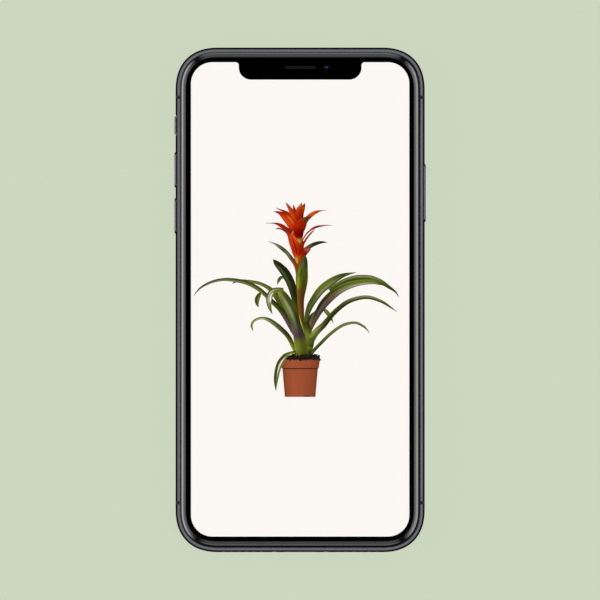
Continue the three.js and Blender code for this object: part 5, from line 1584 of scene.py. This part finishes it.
# %% Card tray
TRAY_INNER = HALF_WIDTH - 2.45
FRAME_INNER = 21.4
FRAME_WIDTH = 14.2
FRAME_THICKNESS = 0.9
CARD_SEAT = (9.1, 12.5)
CARD_SEAT_X = 27.2
CARD_SEAT_DEPTH = 0.7
CARD_RIM = 0.8
CARD_CORNER = 0.8
FRAME_BEVEL = 0.05
EJECT_Y = TRAY_Y - 5.9
EJECT_RADIUS = 0.45
tray_top = MID_HEIGHT + FRAME_THICKNESS / 2
stub_reach = HALF_WIDTH - TRAY_INNER + 1
stub_section = band_arc() + [(stub_reach, BAND_FRONT), (stub_reach, BAND_BACK)]
stub = swept(side_stations(1, TRAY_Y - TRAY_FACE[0], TRAY_Y + TRAY_FACE[0]), stub_section, coat)
tray_face = side_shape(1, TRAY_Y, pill_loop(*TRAY_FACE), [(0, TRAY_INNER), (0, CUT_OUTER)])
tray_face = carved(tray_face, stub, operation="INTERSECT")
frame_length = TRAY_INNER + 0.2 - FRAME_INNER
tray_base = tray_top - FRAME_THICKNESS
tray_frame = shaped(rounded_loop(frame_length, FRAME_WIDTH, 0.5), [
    (FRAME_BEVEL, tray_base), (0, tray_base + FRAME_BEVEL),
    (0, tray_top - FRAME_BEVEL), (FRAME_BEVEL, tray_top),
], shift=(FRAME_INNER + frame_length / 2, TRAY_Y, 0))
seat_place = (CARD_SEAT_X, TRAY_Y, 0)
seat = slab(rounded_loop(*CARD_SEAT, CARD_CORNER), tray_top - CARD_SEAT_DEPTH, tray_top + 1, shift=seat_place)
rim_loop = rounded_loop(CARD_SEAT[0] - 2 * CARD_RIM, CARD_SEAT[1] - 2 * CARD_RIM, CARD_CORNER)
tray_opening = slab(rim_loop, 0, tray_top, shift=seat_place)
eject = side_shape(1, EJECT_Y, round_loop(EJECT_RADIUS, 24), [(0, TRAY_INNER - 1), (0, CUT_OUTER)])
tray = carved(carved(tray_face, tray_frame, operation="UNION"), seat, tray_opening, eject)
FACE_SKIN = 1.0
SKIN_BLEND = 0.3
tray_coat = Finish("coated tray face on a satin frame", Specular_Tint=BLACK)
place = tray_coat.place()
x, y, z = tray_coat.parts(place)
on_face = tray_coat.smooth(x, (HALF_WIDTH - FACE_SKIN - SKIN_BLEND) * MM, (HALF_WIDTH - FACE_SKIN) * MM)
off_middle = abs(z - MID_HEIGHT * MM) / (MID_HEIGHT * MM)
# The face carries the band's painted shade: its colour turns near black towards mid height.
face_tone = tray_coat.mix(PAINTED_MID_SHADE, BAND_TONES[0], tray_coat.smooth(off_middle, *BAND_PAINTED_SHADE))
satin = tray_coat.noise(place, 2500.0, 4.0)
frame_tone = tray_coat.mix((0.115, 0.112, 0.122), (0.160, 0.155, 0.168), satin)
tray_coat.paint(
    Base_Color=tray_coat.mix(frame_tone, face_tone, on_face),
    Metallic=on_face,
    Roughness=0.42 - 0.3 * on_face + 0.05 * satin,
)
piece("card_tray_drawer", tray, tray_coat, body="card_tray", instead_of="card_tray")
print("tray", TRAY_FACE, "mm, with a hole", 2 * EJECT_RADIUS, "mm wide")

# %% [markdown]
# ## Charge port and end screws
#
# The port is a shell of drawn steel with a rolled mouth, round a thin tongue that carries a row of
# gilt contacts on each face. The two end screws sit below the surface, so that they can't catch on
# anything, and have a six-lobed socket.

# %% Satin steel
satin_steel = Finish("satin steel", Metallic=1.0)
place = satin_steel.place()
brushed = satin_steel.noise(satin_steel.stretched(place, (1.0, 12.0, 12.0)), 700.0, 4.0)
satin_steel.paint(
    Base_Color=satin_steel.mix((0.42, 0.42, 0.44), (0.52, 0.52, 0.54), brushed),
    Roughness=0.3 + 0.14 * brushed,
    Normal=satin_steel.bump(brushed, 0.08, 0.00002),
)
dark_steel = grained(
    "darkened steel", (0.05, 0.05, 0.055), (0.09, 0.09, 0.1), per_metre=1200.0, roughness=0.25, spread=0.1,
    detail=3.0, Metallic=1.0, Specular_Tint=BLACK,
)
print(satin_steel.material.name, "and", dark_steel.material.name)

# %% Port shell and screws
ROLLED_EDGE = 0.1
SHELL_FRONT = 0.05
SCREW_TIP = 3.4
SCREW_TOP = 0.25
SOCKET_DEPTH = 0.6
shell = bottom_shape(0, pill_loop(*PORT), [
    (ROLLED_EDGE, SHELL_FRONT), (0.03, SHELL_FRONT + 0.03), (0, SHELL_FRONT + ROLLED_EDGE),
    (0, PORT_MOUTH + PORT_DEPTH),
])
cavity = bottom_shape(0, pill_loop(*PORT_CAVITY), [
    (-ROLLED_EDGE, CUT_BELOW), (-ROLLED_EDGE, SHELL_FRONT), (0, SHELL_FRONT + ROLLED_EDGE), (0, PORT_FLOOR),
])
piece("port_shell", carved(shell, cavity), dark_steel, instead_of="charge_port")


def lobed_loop(radius, lobe, lobes=6, sides=72):
    def loop(inset):
        points = []
        for side in range(sides):
            turn = 2 * math.pi * side / sides
            reach = radius - inset + lobe * math.cos(lobes * turn)
            points.append(Vector((reach * math.cos(turn), reach * math.sin(turn))))
        return points

    return loop


for word, side in [("left", -1), ("right", 1)]:
    head = bottom_shape(side * SCREW_X, round_loop(SCREW_HEAD), [
        (0.1, SCREW_TOP), (0.03, SCREW_TOP + 0.03), (0, SCREW_TOP + 0.1), (0, SCREW_SEAT),
    ])
    shank = bottom_shape(side * SCREW_X, round_loop(SCREW_SHAFT), [
        (0, SCREW_SEAT - 0.1), (0, SCREW_TIP - 0.1), (0.1, SCREW_TIP),
    ])
    socket = bottom_shape(side * SCREW_X, lobed_loop(0.33, 0.05), [(0, 0), (0, SOCKET_DEPTH)])
    screw = carved(carved(head, shank, operation="UNION"), socket)
    piece(f"screw_{word}", screw, satin_steel, instead_of=f"end_screw_{word}")
print("port mouth", PORT_CAVITY, "mm")

# %% Tongue and its contacts
TONGUE = (0.7, 6.69)
TONGUE_LENGTH = 4.5
CONTACT = (0.26, 3.6, 0.02)
CONTACT_PITCH = 0.5
CONTACT_COUNT = 12
CONTACT_SETBACK = 0.3
tongue_tip = PORT_FLOOR - TONGUE_LENGTH
tongue_levels = [(0.1, tongue_tip), (0, tongue_tip + 0.15), (0, PORT_FLOOR)]
tongue = bottom_shape(0, rounded_loop(*TONGUE, 0.15), tongue_levels)
dull_plastic = grained(
    "matt black plastic", (0.012, 0.012, 0.013), (0.022, 0.022, 0.024), per_metre=3000.0,
    roughness=0.5, spread=0.2, detail=3.0, relief=(0.1, 0.00002), Specular_IOR_Level=0.35,
)
piece("tongue", tongue, dull_plastic, instead_of="port_tongue")
gilt = grained(
    "gilt contacts", (0.80, 0.55, 0.22), (0.70, 0.46, 0.17), per_metre=3000.0,
    roughness=0.22, spread=0.12, detail=3.0, Metallic=1.0,
)
contact_x = -CONTACT_PITCH * (CONTACT_COUNT - 1) / 2
contact_y = PORT_FLOOR - HALF_LENGTH - TONGUE_LENGTH + CONTACT_SETBACK + CONTACT[1] / 2
contact_loop = rounded_loop(CONTACT[0], CONTACT[1], 0.08)
for word, face in [("front", 1), ("back", -1)]:
    low, high = sorted([face * TONGUE[0] / 2, face * (TONGUE[0] / 2 + CONTACT[2])])
    contact = slab(contact_loop, low, high, shift=(contact_x, contact_y, MID_HEIGHT))
    contacts = in_a_row(contact, CONTACT_COUNT, CONTACT_PITCH, gilt)
    piece(f"tongue_contacts_{word}", contacts, gilt)
print(2 * CONTACT_COUNT, "contacts")

# %% [markdown]
# ## Woven meshes
#
# Behind the earpiece slot and the sound holes lies fine woven wire, which lets sound through and
# keeps dust out. A picture of a grid would do from far away, but the slot is open, so real wires
# give it its depth. A tree weaves them: one bent wire, repeated across, with every other one turned
# over, and a second set that crosses it. Each wire is cut to the length that the pill leaves it.

# %% A woven pill
weave = Shape("woven pill")
reach = weave.input("Reach", "number")
radius = weave.input("Radius", "number")
pitch = weave.input("Pitch", "number")
wire = weave.input("Wire", "number")
STEPS_PER_WIRE = 3


def only(axis, value, others=0.0):
    """A vector with a value on one axis, 0 being X and 1 being Y."""
    return weave.vector(*[value if index == axis else others for index in range(3)])


def bent_wire(axis, half_length):
    """A wire along an axis, bent up and down once for every wire that it crosses."""
    start, end = only(axis, half_length * -1), only(axis, half_length)
    straight = weave.node("GeometryNodeCurvePrimitiveLine", {"Start": start, "End": end})
    count = half_length * 2 / pitch * STEPS_PER_WIRE
    fine = weave.node("GeometryNodeResampleCurve", {"Curve": straight, "Count": count})
    along = weave.parts(weave.node("GeometryNodeInputPosition"))[axis]
    bend = weave.maths("COSINE", along / pitch * math.pi) * wire
    bent = weave.node("GeometryNodeSetPosition", {"Geometry": fine, "Offset": weave.vector(0.0, 0.0, bend)})
    ring = weave.node("GeometryNodeCurvePrimitiveCircle", {"Resolution": 6, "Radius": wire})
    return weave.node("GeometryNodeCurveToMesh", {"Curve": bent, "Profile Curve": ring, "Fill Caps": True})


def crossing(axis, sample, spread, half_length, flip):
    """Copies of a wire, side by side across an axis, each cut to fit the pill."""
    other = 1 - axis
    steps = weave.maths("FLOOR", spread / pitch)
    spots = weave.node("GeometryNodeMeshLine", {
        "Count": steps * 2 + 1, "Start Location": only(other, steps * pitch * -1),
        "Offset": only(other, pitch),
    })
    across = weave.parts(weave.node("GeometryNodeInputPosition"))[other]
    if axis == 0:
        room = reach + weave.maths("MAXIMUM", radius * radius - across * across) ** 0.5
    else:
        over = weave.maths("MAXIMUM", abs(across) - reach)
        room = weave.maths("MAXIMUM", radius * radius - over * over) ** 0.5
    odd = weave.maths("MODULO", weave.node("GeometryNodeInputIndex") + flip, 2.0)
    return weave.node("GeometryNodeInstanceOnPoints", {
        "Points": spots, "Instance": sample, "Scale": only(axis, room / half_length, 1.0),
        "Rotation": weave.node("FunctionNodeEulerToRotation", {"Euler": only(axis, odd * math.pi)}),
    })


long_half = reach + radius
lengthways = crossing(0, bent_wire(0, long_half), radius - wire, long_half, 0)
crossways = crossing(1, bent_wire(1, radius), long_half - wire, radius, 1)
both = weave.node("GeometryNodeJoinGeometry", {"Geometry": lengthways})
weave.feed(both.output.node.inputs["Geometry"], crossways)
weave_tree = weave.done(both)
print([item.name for item in weave_tree.interface.items_tree])

# %% Earpiece mesh over its felt, and the meshes behind the sound holes
MESH_GAP = 0.05
MESH_TOP = 7.5
MESH_PITCH = 0.16
MESH_WIRE = 0.036
FELT_TOP = MESH_TOP - 0.25
SPEAKER_TOP = 6.2
dark_wire = grained(
    "blackened wire", (0.070, 0.070, 0.072), (0.110, 0.110, 0.114), per_metre=5000.0,
    roughness=0.45, spread=0.1, Metallic=1.0,
)


def woven_pill(reach, radius, pitch, wire, place, turn=Matrix.Identity(4)):
    """A woven pill from sizes in millimetres, turned and moved to its place."""
    sizes = {"reach": reach * MM, "radius": radius * MM, "pitch": pitch * MM, "wire": wire * MM}
    mesh = grown(weave_tree, finish=dark_wire, **sizes)
    mesh.transform(Matrix.Translation(Vector(place) * MM) @ turn)
    return mesh


weave_place = (0, SLOT_PLACE[1], MESH_TOP - 2 * MESH_WIRE)
slot_weave = woven_pill((SLOT[0] - SLOT[1]) / 2, SLOT[1] / 2 - MESH_GAP, MESH_PITCH, MESH_WIRE, weave_place)
piece("earpiece_weave", slot_weave, dark_wire, instead_of="earpiece_mesh")
felt_mesh = shaped(pill_loop(SLOT[0] - 2 * MESH_GAP, SLOT[1] - 2 * MESH_GAP), [
    (0, SPEAKER_TOP), (0, FELT_TOP - 0.05), (0.05, FELT_TOP),
], shift=SLOT_PLACE)
felt = Finish("black felt", Specular_IOR_Level=0.0)
fibre = felt.noise(felt.stretched(felt.place(), (1.0, 3.0, 1.0)), 9000.0, 4.0)
felt_black = felt.mix((0.002, 0.002, 0.0022), (0.008, 0.008, 0.0085), fibre)
felt.paint(Base_Color=felt_black, Roughness=0.9 + 0.1 * fibre)
piece("earpiece_felt", felt_mesh, felt)
SOUND_MESH_HEIGHT = 2.0
SOUND_MESH_MARGIN = 1.0
SOUND_MESH_PITCH = 0.2
SOUND_MESH_WIRE = 0.045
SOUND_MESH_Y = BAND_WALL + 0.15 - HALF_LENGTH
half_row = SOUND_PITCH * (SOUND_COUNT - 1) / 2
sound_reach = half_row + SOUND_MESH_MARGIN - SOUND_MESH_HEIGHT / 2
sound_sizes = (sound_reach, SOUND_MESH_HEIGHT / 2, SOUND_MESH_PITCH, SOUND_MESH_WIRE)
STANDING = Matrix.Rotation(math.pi / 2, 4, "X")
for name, side in [("microphone_mesh", -1), ("loudspeaker_mesh", 1)]:
    sound_place = (side * (SOUND_FIRST + half_row), SOUND_MESH_Y, MID_HEIGHT)
    sound_weave = woven_pill(*sound_sizes, sound_place, STANDING)
    piece(f"woven_{name}", sound_weave, dark_wire, instead_of=name)
print("meshes of", MESH_PITCH, "and", SOUND_MESH_PITCH, "mm pitch")

# %% [markdown]
# ## Front camera
#
# The front camera looks out through an eye in the mask. Its lens is a small dome with a blue
# coating. It mirrors the bright wall on each side, so from above it shows as two blue glints, one
# left and one right of its dark middle. That middle is partly the dark sky it mirrors and partly
# painted shade: the coat's colour turns near black in a soft stripe up its middle, which parts the
# two glints.

# %% Front camera
CAMERA_BASE = (5.0, 5.0, 0.5)
CAMERA_BASE_BOTTOM = 3.8
CAMERA_BASE_TOP = 5.2
BARREL_RADIUS = 2.0
BARREL_TOP = 6.4
CAMERA_TOP = 6.7
RING_RADIUS = 1.1
PUPIL_RADIUS = 0.8
DOME_RADIUS = 0.83
DOME_TURN = math.radians(58)
LENS_RECESS = 0.02
# Painted shade: how far from the lens's middle line the dark stripe is fully dark, and where it is fully
# blue.
PAINTED_DARK_STRIPE = (0.03 * MM, 0.3 * MM)
base = shaped(rounded_loop(*CAMERA_BASE), [
    (0, CAMERA_BASE_BOTTOM), (0, CAMERA_BASE_TOP - 0.15), (0.15, CAMERA_BASE_TOP),
], shift=EYE_PLACE)
ring_inset = BARREL_RADIUS - RING_RADIUS
barrel = shaped(round_loop(BARREL_RADIUS), [
    (0, CAMERA_BASE_TOP - 0.1), (0, BARREL_TOP),
    (ring_inset - 0.05, CAMERA_TOP - 0.03), (ring_inset, CAMERA_TOP),
], shift=EYE_PLACE)
pupil = shaped(round_loop(PUPIL_RADIUS), [(0.1, CAMERA_TOP - 0.6), (0, CAMERA_TOP + 1)], shift=EYE_PLACE)
housing = carved(carved(base, barrel, operation="UNION"), pupil)
flock = grained(
    "black flocking", (0.0006, 0.0006, 0.0007), (0.002, 0.002, 0.0022), per_metre=6000.0,
    roughness=0.8, spread=0.2, detail=3.0, Specular_IOR_Level=0.0,
)
piece("front_camera_housing", housing, flock, instead_of="front_camera")


def dome_levels(radius, turn, top, steps=16):
    """The levels of a dome, from its rim to near its top; the insets are from the rim."""
    rim = radius * math.sin(turn)
    levels = []
    for step in range(steps):
        angle = turn * (1 - step / steps)
        levels.append((rim - radius * math.sin(angle), top - radius * (1 - math.cos(angle))))
    return levels


dome_rim = DOME_RADIUS * math.sin(DOME_TURN)
lens_levels = dome_levels(DOME_RADIUS, DOME_TURN, CAMERA_TOP - LENS_RECESS)
lens = shaped(round_loop(dome_rim), lens_levels, shift=EYE_PLACE)
blue_coat = Finish("blue coated lens", Metallic=1.0)
place = blue_coat.place()
film_noise = blue_coat.noise(place, 600.0)
# Painted shade: the coat is darkened by its distance across from the middle, in X only, so it is a stripe.
from_axis = abs(blue_coat.parts(place)[0] - EYE_PLACE[0] * MM)
blue = blue_coat.mix((0.055, 0.150, 0.420), (0.080, 0.180, 0.460), film_noise)
blue_coat.paint(
    Base_Color=blue_coat.mix((0.002, 0.006, 0.030), blue, blue_coat.smooth(from_axis, *PAINTED_DARK_STRIPE)),
    Roughness=0.06 + 0.04 * film_noise,
)
piece("front_camera_lens", lens, blue_coat)
print("lens dome", round(2 * dome_rim, 2), "mm wide")

# %% [markdown]
# ## Rear cameras
#
# The back carries a pill-shaped steel window with a camera at each end and a flash between them,
# flush with the glass, so that the phone rests flat. From outside, a camera is a clear cover, then
# black steps that lead in to a coated lens. The lens is a dome that faces the back, so it is the
# front camera's dome turned over.

# %% Rear camera window, with its stepped holes
PLATE_BOTTOM = 1.5
PLATE_TOP = 1.9
WINDOW_GAP = 0.15
WINDOW_RECESS = 0.05
WINDOW_BEVEL = 0.12
LENS_X = 7.2
LENS_HOLE = (3.5, 3.1)
FLASH_HOLE = (1.6, 1.3)
REAR_MIC_X = 2.75
REAR_MIC_RADIUS = 0.35
COVER_GAP = 0.05
COVER_BOTTOM = 0.15
COVER_TOP = 0.78
COVER_BEVEL = 0.08


def on_the_back(loop, levels, x=0.0):
    return shaped(loop, levels, shift=(x, WINDOW_Y, 0))


def stepped_hole(x, radius, step_radius):
    """The tools for a hole that is wide outside and narrow inside."""
    wide_levels = [(-WINDOW_BEVEL, CUT_BELOW), (-WINDOW_BEVEL, 0), (0, COVER_BOTTOM), (0, COVER_TOP)]
    wide = on_the_back(round_loop(radius), wide_levels, x)
    return [wide, on_the_back(round_loop(step_radius), [(0, 0), (0, PLATE_BOTTOM + 1)], x)]


plate_loop = pill_loop(WINDOW[0] - 2 * WINDOW_GAP, WINDOW[1] - 2 * WINDOW_GAP, 24)
frame_plate = on_the_back(plate_loop, [
    (WINDOW_BEVEL, WINDOW_RECESS), (0, WINDOW_RECESS + WINDOW_BEVEL), (0, PLATE_BOTTOM),
])
mic_levels = [(0, CUT_BELOW), (0, PLATE_BOTTOM + 1)]
rear_mic = on_the_back(round_loop(REAR_MIC_RADIUS, 20), mic_levels, REAR_MIC_X)
lens_holes = stepped_hole(-LENS_X, *LENS_HOLE) + stepped_hole(LENS_X, *LENS_HOLE)
frame_plate = carved(frame_plate, *lens_holes, *stepped_hole(0, *FLASH_HOLE), rear_mic)
window_steel = grained(
    "satin coated steel round the cameras", (0.045, 0.043, 0.050), (0.060, 0.057, 0.066), per_metre=2500.0,
    roughness=0.24, spread=0.14, detail=4.0, relief=(0.08, 0.00001), Metallic=1.0,
)
piece("rear_window_plate", frame_plate, window_steel, instead_of="camera_window")
print("window", WINDOW, "mm, with two lens holes")

# %% Clear covers and the ribbed flash window


def cover_disc(radius, x=0.0):
    return on_the_back(round_loop(radius - COVER_GAP), [
        (COVER_BEVEL, COVER_BOTTOM), (0, COVER_BOTTOM + COVER_BEVEL), (0, COVER_TOP),
    ], x)


flash_glass = Finish("ribbed flash window", Transmission_Weight=1.0, IOR=1.46)
x, y, z = flash_glass.parts(flash_glass.place())
FLASH_RIB = 0.16 * MM
off_line = y - WINDOW_Y * MM
ribs = flash_glass.waves((x * x + off_line * off_line) ** 0.5, FLASH_RIB)
flash_glass.paint(
    Base_Color=flash_glass.mix((0.93, 0.88, 0.72), (0.98, 0.94, 0.80), flash_glass.smooth(ribs, -1.0, 1.0)),
    Roughness=0.12 + 0.05 * ribs,
    Normal=flash_glass.bump(ribs, 0.5, 0.00002),
)
flash_disc = cover_disc(FLASH_HOLE[0])
piece("flash_cover", flash_disc, flash_glass, instead_of="flash_window")
for word, side in [("left", -1), ("right", 1)]:
    disc = cover_disc(LENS_HOLE[0], side * LENS_X)
    piece(f"lens_cover_{word}", disc, clear_glass, instead_of=f"rear_lens_cover_{word}")
print("covers", 2 * (LENS_HOLE[0] - COVER_GAP), "mm wide")

# %% Rear camera modules
BARREL_BOTTOM = 0.85
REAR_BARREL = 2.95
REAR_BODY = (9.4, 9.4, 1.0)
REAR_BODY_TOP = 5.4
REAR_BEVEL = 0.25
REAR_STEPS = [
    (0, 0), (0, 0.98), (0.35, 1.0), (0.35, 1.18), (0.62, 1.2), (0.62, 1.38), (0.86, 1.4), (0.86, 1.8),
]
REAR_STEPS_RADIUS = 2.55
REAR_DOME_RADIUS = 1.85
REAR_DOME_TURN = math.radians(62)
REAR_DOME_FRONT = 1.02
TURNED_OVER = Matrix.Rotation(math.pi, 4, "X")
violet_coat = grained(
    "violet coated lens", (0.030, 0.012, 0.075), (0.014, 0.030, 0.085), per_metre=400.0,
    roughness=0.05, spread=0.04, Metallic=1.0,
)
rear_rim = REAR_DOME_RADIUS * math.sin(REAR_DOME_TURN)
rear_dome_levels = dome_levels(REAR_DOME_RADIUS, REAR_DOME_TURN, 0.0)
for word, x in [("left", -LENS_X), ("right", LENS_X)]:
    barrel = on_the_back(round_loop(REAR_BARREL), [
        (0.08, BARREL_BOTTOM), (0, BARREL_BOTTOM + 0.08), (0, PLATE_TOP + 0.1),
    ], x)
    body = on_the_back(rounded_loop(*REAR_BODY), [
        (0, PLATE_TOP), (0, REAR_BODY_TOP - REAR_BEVEL), (REAR_BEVEL, REAR_BODY_TOP),
    ], x)
    steps = on_the_back(round_loop(REAR_STEPS_RADIUS), REAR_STEPS, x)
    module = carved(carved(barrel, body, operation="UNION"), steps)
    piece(f"camera_module_{word}", module, flock, instead_of=f"rear_camera_{word}")
    rear_dome = shaped(round_loop(rear_rim), rear_dome_levels, TURNED_OVER, (x, WINDOW_Y, REAR_DOME_FRONT))
    piece(f"camera_lens_{word}", rear_dome, violet_coat)
print("rear domes", round(2 * rear_rim, 2), "mm wide")

# %% [markdown]
# ## Boards
#
# A circuit board is green because of the mask over its copper. Its tracks show through as a lighter
# relief and its pads are tinned. Both are drawn from Object coordinates, so the pattern keeps its
# size on every board.

# %% Circuit board finish, and the flash on its board
TRACK_PITCH = 0.9 * MM
PADS_PER_METRE = 420.0
PAD_SIZE = 0.16
solder_mask = Finish("green solder mask", Specular_IOR_Level=0.45)
place = solder_mask.place()
tracks = solder_mask.node("ShaderNodeTexBrick", {
    "Vector": place, "Scale": 1.0, "Brick Width": 3.5 * TRACK_PITCH, "Row Height": TRACK_PITCH,
    "Mortar Size": 0.12 * TRACK_PITCH, "Mortar Smooth": 0.1, "Color1": (1.0, 1.0, 1.0, 1.0),
    "Color2": (0.7, 0.7, 0.7, 1.0), "Mortar": (0.0, 0.0, 0.0, 1.0),
}, output="Color")
pads = solder_mask.node("ShaderNodeTexVoronoi", {
    "Vector": place, "Scale": PADS_PER_METRE, "Randomness": 0.35,
}, {"distance": "CHEBYCHEV"}, output="Distance")
on_pad = 1 - solder_mask.smooth(pads, PAD_SIZE, PAD_SIZE + 0.03)
mask_green = solder_mask.mix((0.008, 0.030, 0.018), (0.013, 0.058, 0.032), tracks)
solder_mask.paint(
    Base_Color=solder_mask.mix(mask_green, (0.55, 0.54, 0.50), on_pad),
    Metallic=on_pad,
    Roughness=0.32 + 0.1 * tracks,
    Normal=solder_mask.bump(tracks, 0.3, 0.00003),
)
FLASH_BOARD = (4.2, 4.2, 0.4)
FLASH_BOARD_TOP = 2.6
FLASH_CHIP = (0.85, 1.7, 0.12)
FLASH_CHIP_X = 0.5
FLASH_WELL = 1.15
flash_board = on_the_back(rounded_loop(*FLASH_BOARD), [
    (0, PLATE_TOP), (0, FLASH_BOARD_TOP - 0.05), (0.05, FLASH_BOARD_TOP),
])
piece("flash_board", flash_board, solder_mask, instead_of="flash_unit")
well = on_the_back(round_loop(FLASH_WELL), [(0, BARREL_BOTTOM), (0, PLATE_TOP)])
well_hollow = on_the_back(round_loop(FLASH_WELL), [(0.1, 0), (0.1, BARREL_BOTTOM), (0.3, 1.7)])
white_plastic = grained(
    "white reflector plastic", (0.78, 0.77, 0.72), (0.70, 0.69, 0.64), per_metre=3000.0,
    roughness=0.35, spread=0.2, Specular_IOR_Level=0.4,
)
piece("flash_reflector", carved(well, well_hollow), white_plastic)
phosphor = grained(
    "yellow phosphor", (0.80, 0.62, 0.06), (0.70, 0.50, 0.04), per_metre=4000.0,
    roughness=0.5, spread=0.3, Specular_IOR_Level=0.3,
)
chip = on_the_back(rounded_loop(*FLASH_CHIP), [(0.03, 1.55), (0, 1.58), (0, PLATE_TOP)], -FLASH_CHIP_X)
piece("flash_chips", in_a_row(chip, 2, 2 * FLASH_CHIP_X, phosphor), phosphor)
print("boards have tracks", TRACK_PITCH / MM, "mm apart")

# %% [markdown]
# ## Finishes for the parts inside
#
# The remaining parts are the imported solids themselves. They are hidden in the closed phone, but an
# opened or cut view shows them, so each has a finish of its own kind: shallow creases in the
# battery's foil, turns of wire on the coil, tracks in the flexible films and a dull tin on the
# shields.

# %% Wire, foil, film, sheet and tin
TURN_PITCH = 0.55 * MM
coil_wire = Finish("lacquered copper turns", Metallic=1.0)
x, y, z = coil_wire.parts(coil_wire.place())
turns = coil_wire.waves((x * x + y * y) ** 0.5, TURN_PITCH)
between = coil_wire.smooth(turns, -1.0, -0.2)
coil_wire.paint(
    Base_Color=coil_wire.mix((0.10, 0.035, 0.015), (0.74, 0.34, 0.17), between),
    Roughness=0.45 - 0.2 * between,
    Normal=coil_wire.bump(turns, 0.7, 0.00008),
)
foil = Finish("black laminated foil", Metallic=0.25, Specular_IOR_Level=0.5)
place = foil.place()
creases = foil.noise(foil.stretched(place, (1.0, 0.25, 1.0)), 260.0, 5.0)
cells = {"Vector": place, "Scale": 1500.0, "Randomness": 0.1}
emboss = foil.node("ShaderNodeTexVoronoi", cells, output="Distance")
foil.paint(
    Base_Color=foil.mix((0.016, 0.016, 0.018), (0.030, 0.030, 0.034), creases),
    Roughness=0.34 + 0.2 * creases,
    Normal=foil.bump(creases + 0.1 * emboss, 0.3, 0.0001),
)
flex_film = Finish("brown flexible film", Specular_IOR_Level=0.5)
x, y, z = flex_film.parts(flex_film.place())
FILM_PITCH = 0.6 * MM
LANE_SLANT = 0.02
lanes = flex_film.waves(x + y * LANE_SLANT, FILM_PITCH)
on_lane = flex_film.smooth(lanes, 0.0, 0.5)
flex_film.paint(
    Base_Color=flex_film.mix((0.060, 0.028, 0.012), (0.190, 0.095, 0.036), on_lane),
    Roughness=0.42 - 0.12 * on_lane,
    Normal=flex_film.bump(on_lane, 0.4, 0.00003),
)
soft_sheet = Finish("grey graphite sheet", Specular_IOR_Level=0.3)
cells = {"Vector": soft_sheet.place(), "Scale": 2200.0}
flakes = soft_sheet.node("ShaderNodeTexVoronoi", cells, output="Distance")
soft_sheet.paint(
    Base_Color=soft_sheet.mix((0.13, 0.14, 0.15), (0.21, 0.22, 0.235), flakes),
    Roughness=0.55 + 0.3 * flakes,
    Normal=soft_sheet.bump(flakes, 0.2, 0.00002),
)
dull_tin = Finish("dull tin on the shields", Metallic=1.0)
place = dull_tin.place()
bloom = dull_tin.noise(place, 180.0, 5.0)
rolled = dull_tin.noise(dull_tin.stretched(place, (12.0, 0.6, 12.0)), 400.0, 3.0)
dull_tin.paint(
    Base_Color=dull_tin.mix((0.44, 0.44, 0.43), (0.60, 0.60, 0.59), bloom),
    Roughness=0.28 + 0.2 * rolled,
    Normal=dull_tin.bump(rolled, 0.1, 0.00003),
)
filter_glass = grained(
    "dark filter glass", (0.003, 0.002, 0.004), (0.008, 0.003, 0.006), per_metre=500.0,
    roughness=0.05, spread=0.05, Specular_IOR_Level=0.6,
)
print("six finishes for the inside")

# %% Dress the solids that stay
DRESSED = [
    (dull_tin, ["processor_shield", "radio_shield", "card_reader"]),
    (satin_steel, [
        "mid_plate", "sensor_bracket", "side_key_switch", "volume_key_switches", "vibration_motor",
        "board_screw_lower", "board_screw_upper",
    ]),
    (dull_plastic, ["earpiece_speaker", "loudspeaker_box", "ring_switch_base"]),
    (solder_mask, ["logic_board", "port_board"]),
    (coil_wire, ["charging_coil"]),
    (soft_sheet, ["coil_shield", "board_pad"]),
    (foil, ["battery"]),
    (flex_film, ["battery_cable", "display_cable", "port_cable"]),
    (filter_glass, ["infrared_camera", "pattern_projector", "light_sensor"]),
]
for finish, names in DRESSED:
    for name in names:
        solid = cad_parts[name]
        solid.data.materials.clear()
        solid.data.materials.append(finish.material)
    print(finish.material.name, "on", ", ".join(names))

# %% [markdown]
# ## Size
#
# The finished phone must be the size of its solids. Both boxes are printed, in millimetres, so that they can
# be compared.

# %% Print both boxes
finished_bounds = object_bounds()
boxes = {
    "cad": [list(corner) for corner in solid_bounds],
    "finished": [list(corner) for corner in finished_bounds],
}
for name, (low, high) in boxes.items():
    print(name, [round((top - bottom) / MM, 3) for bottom, top in zip(low, high)], "mm")
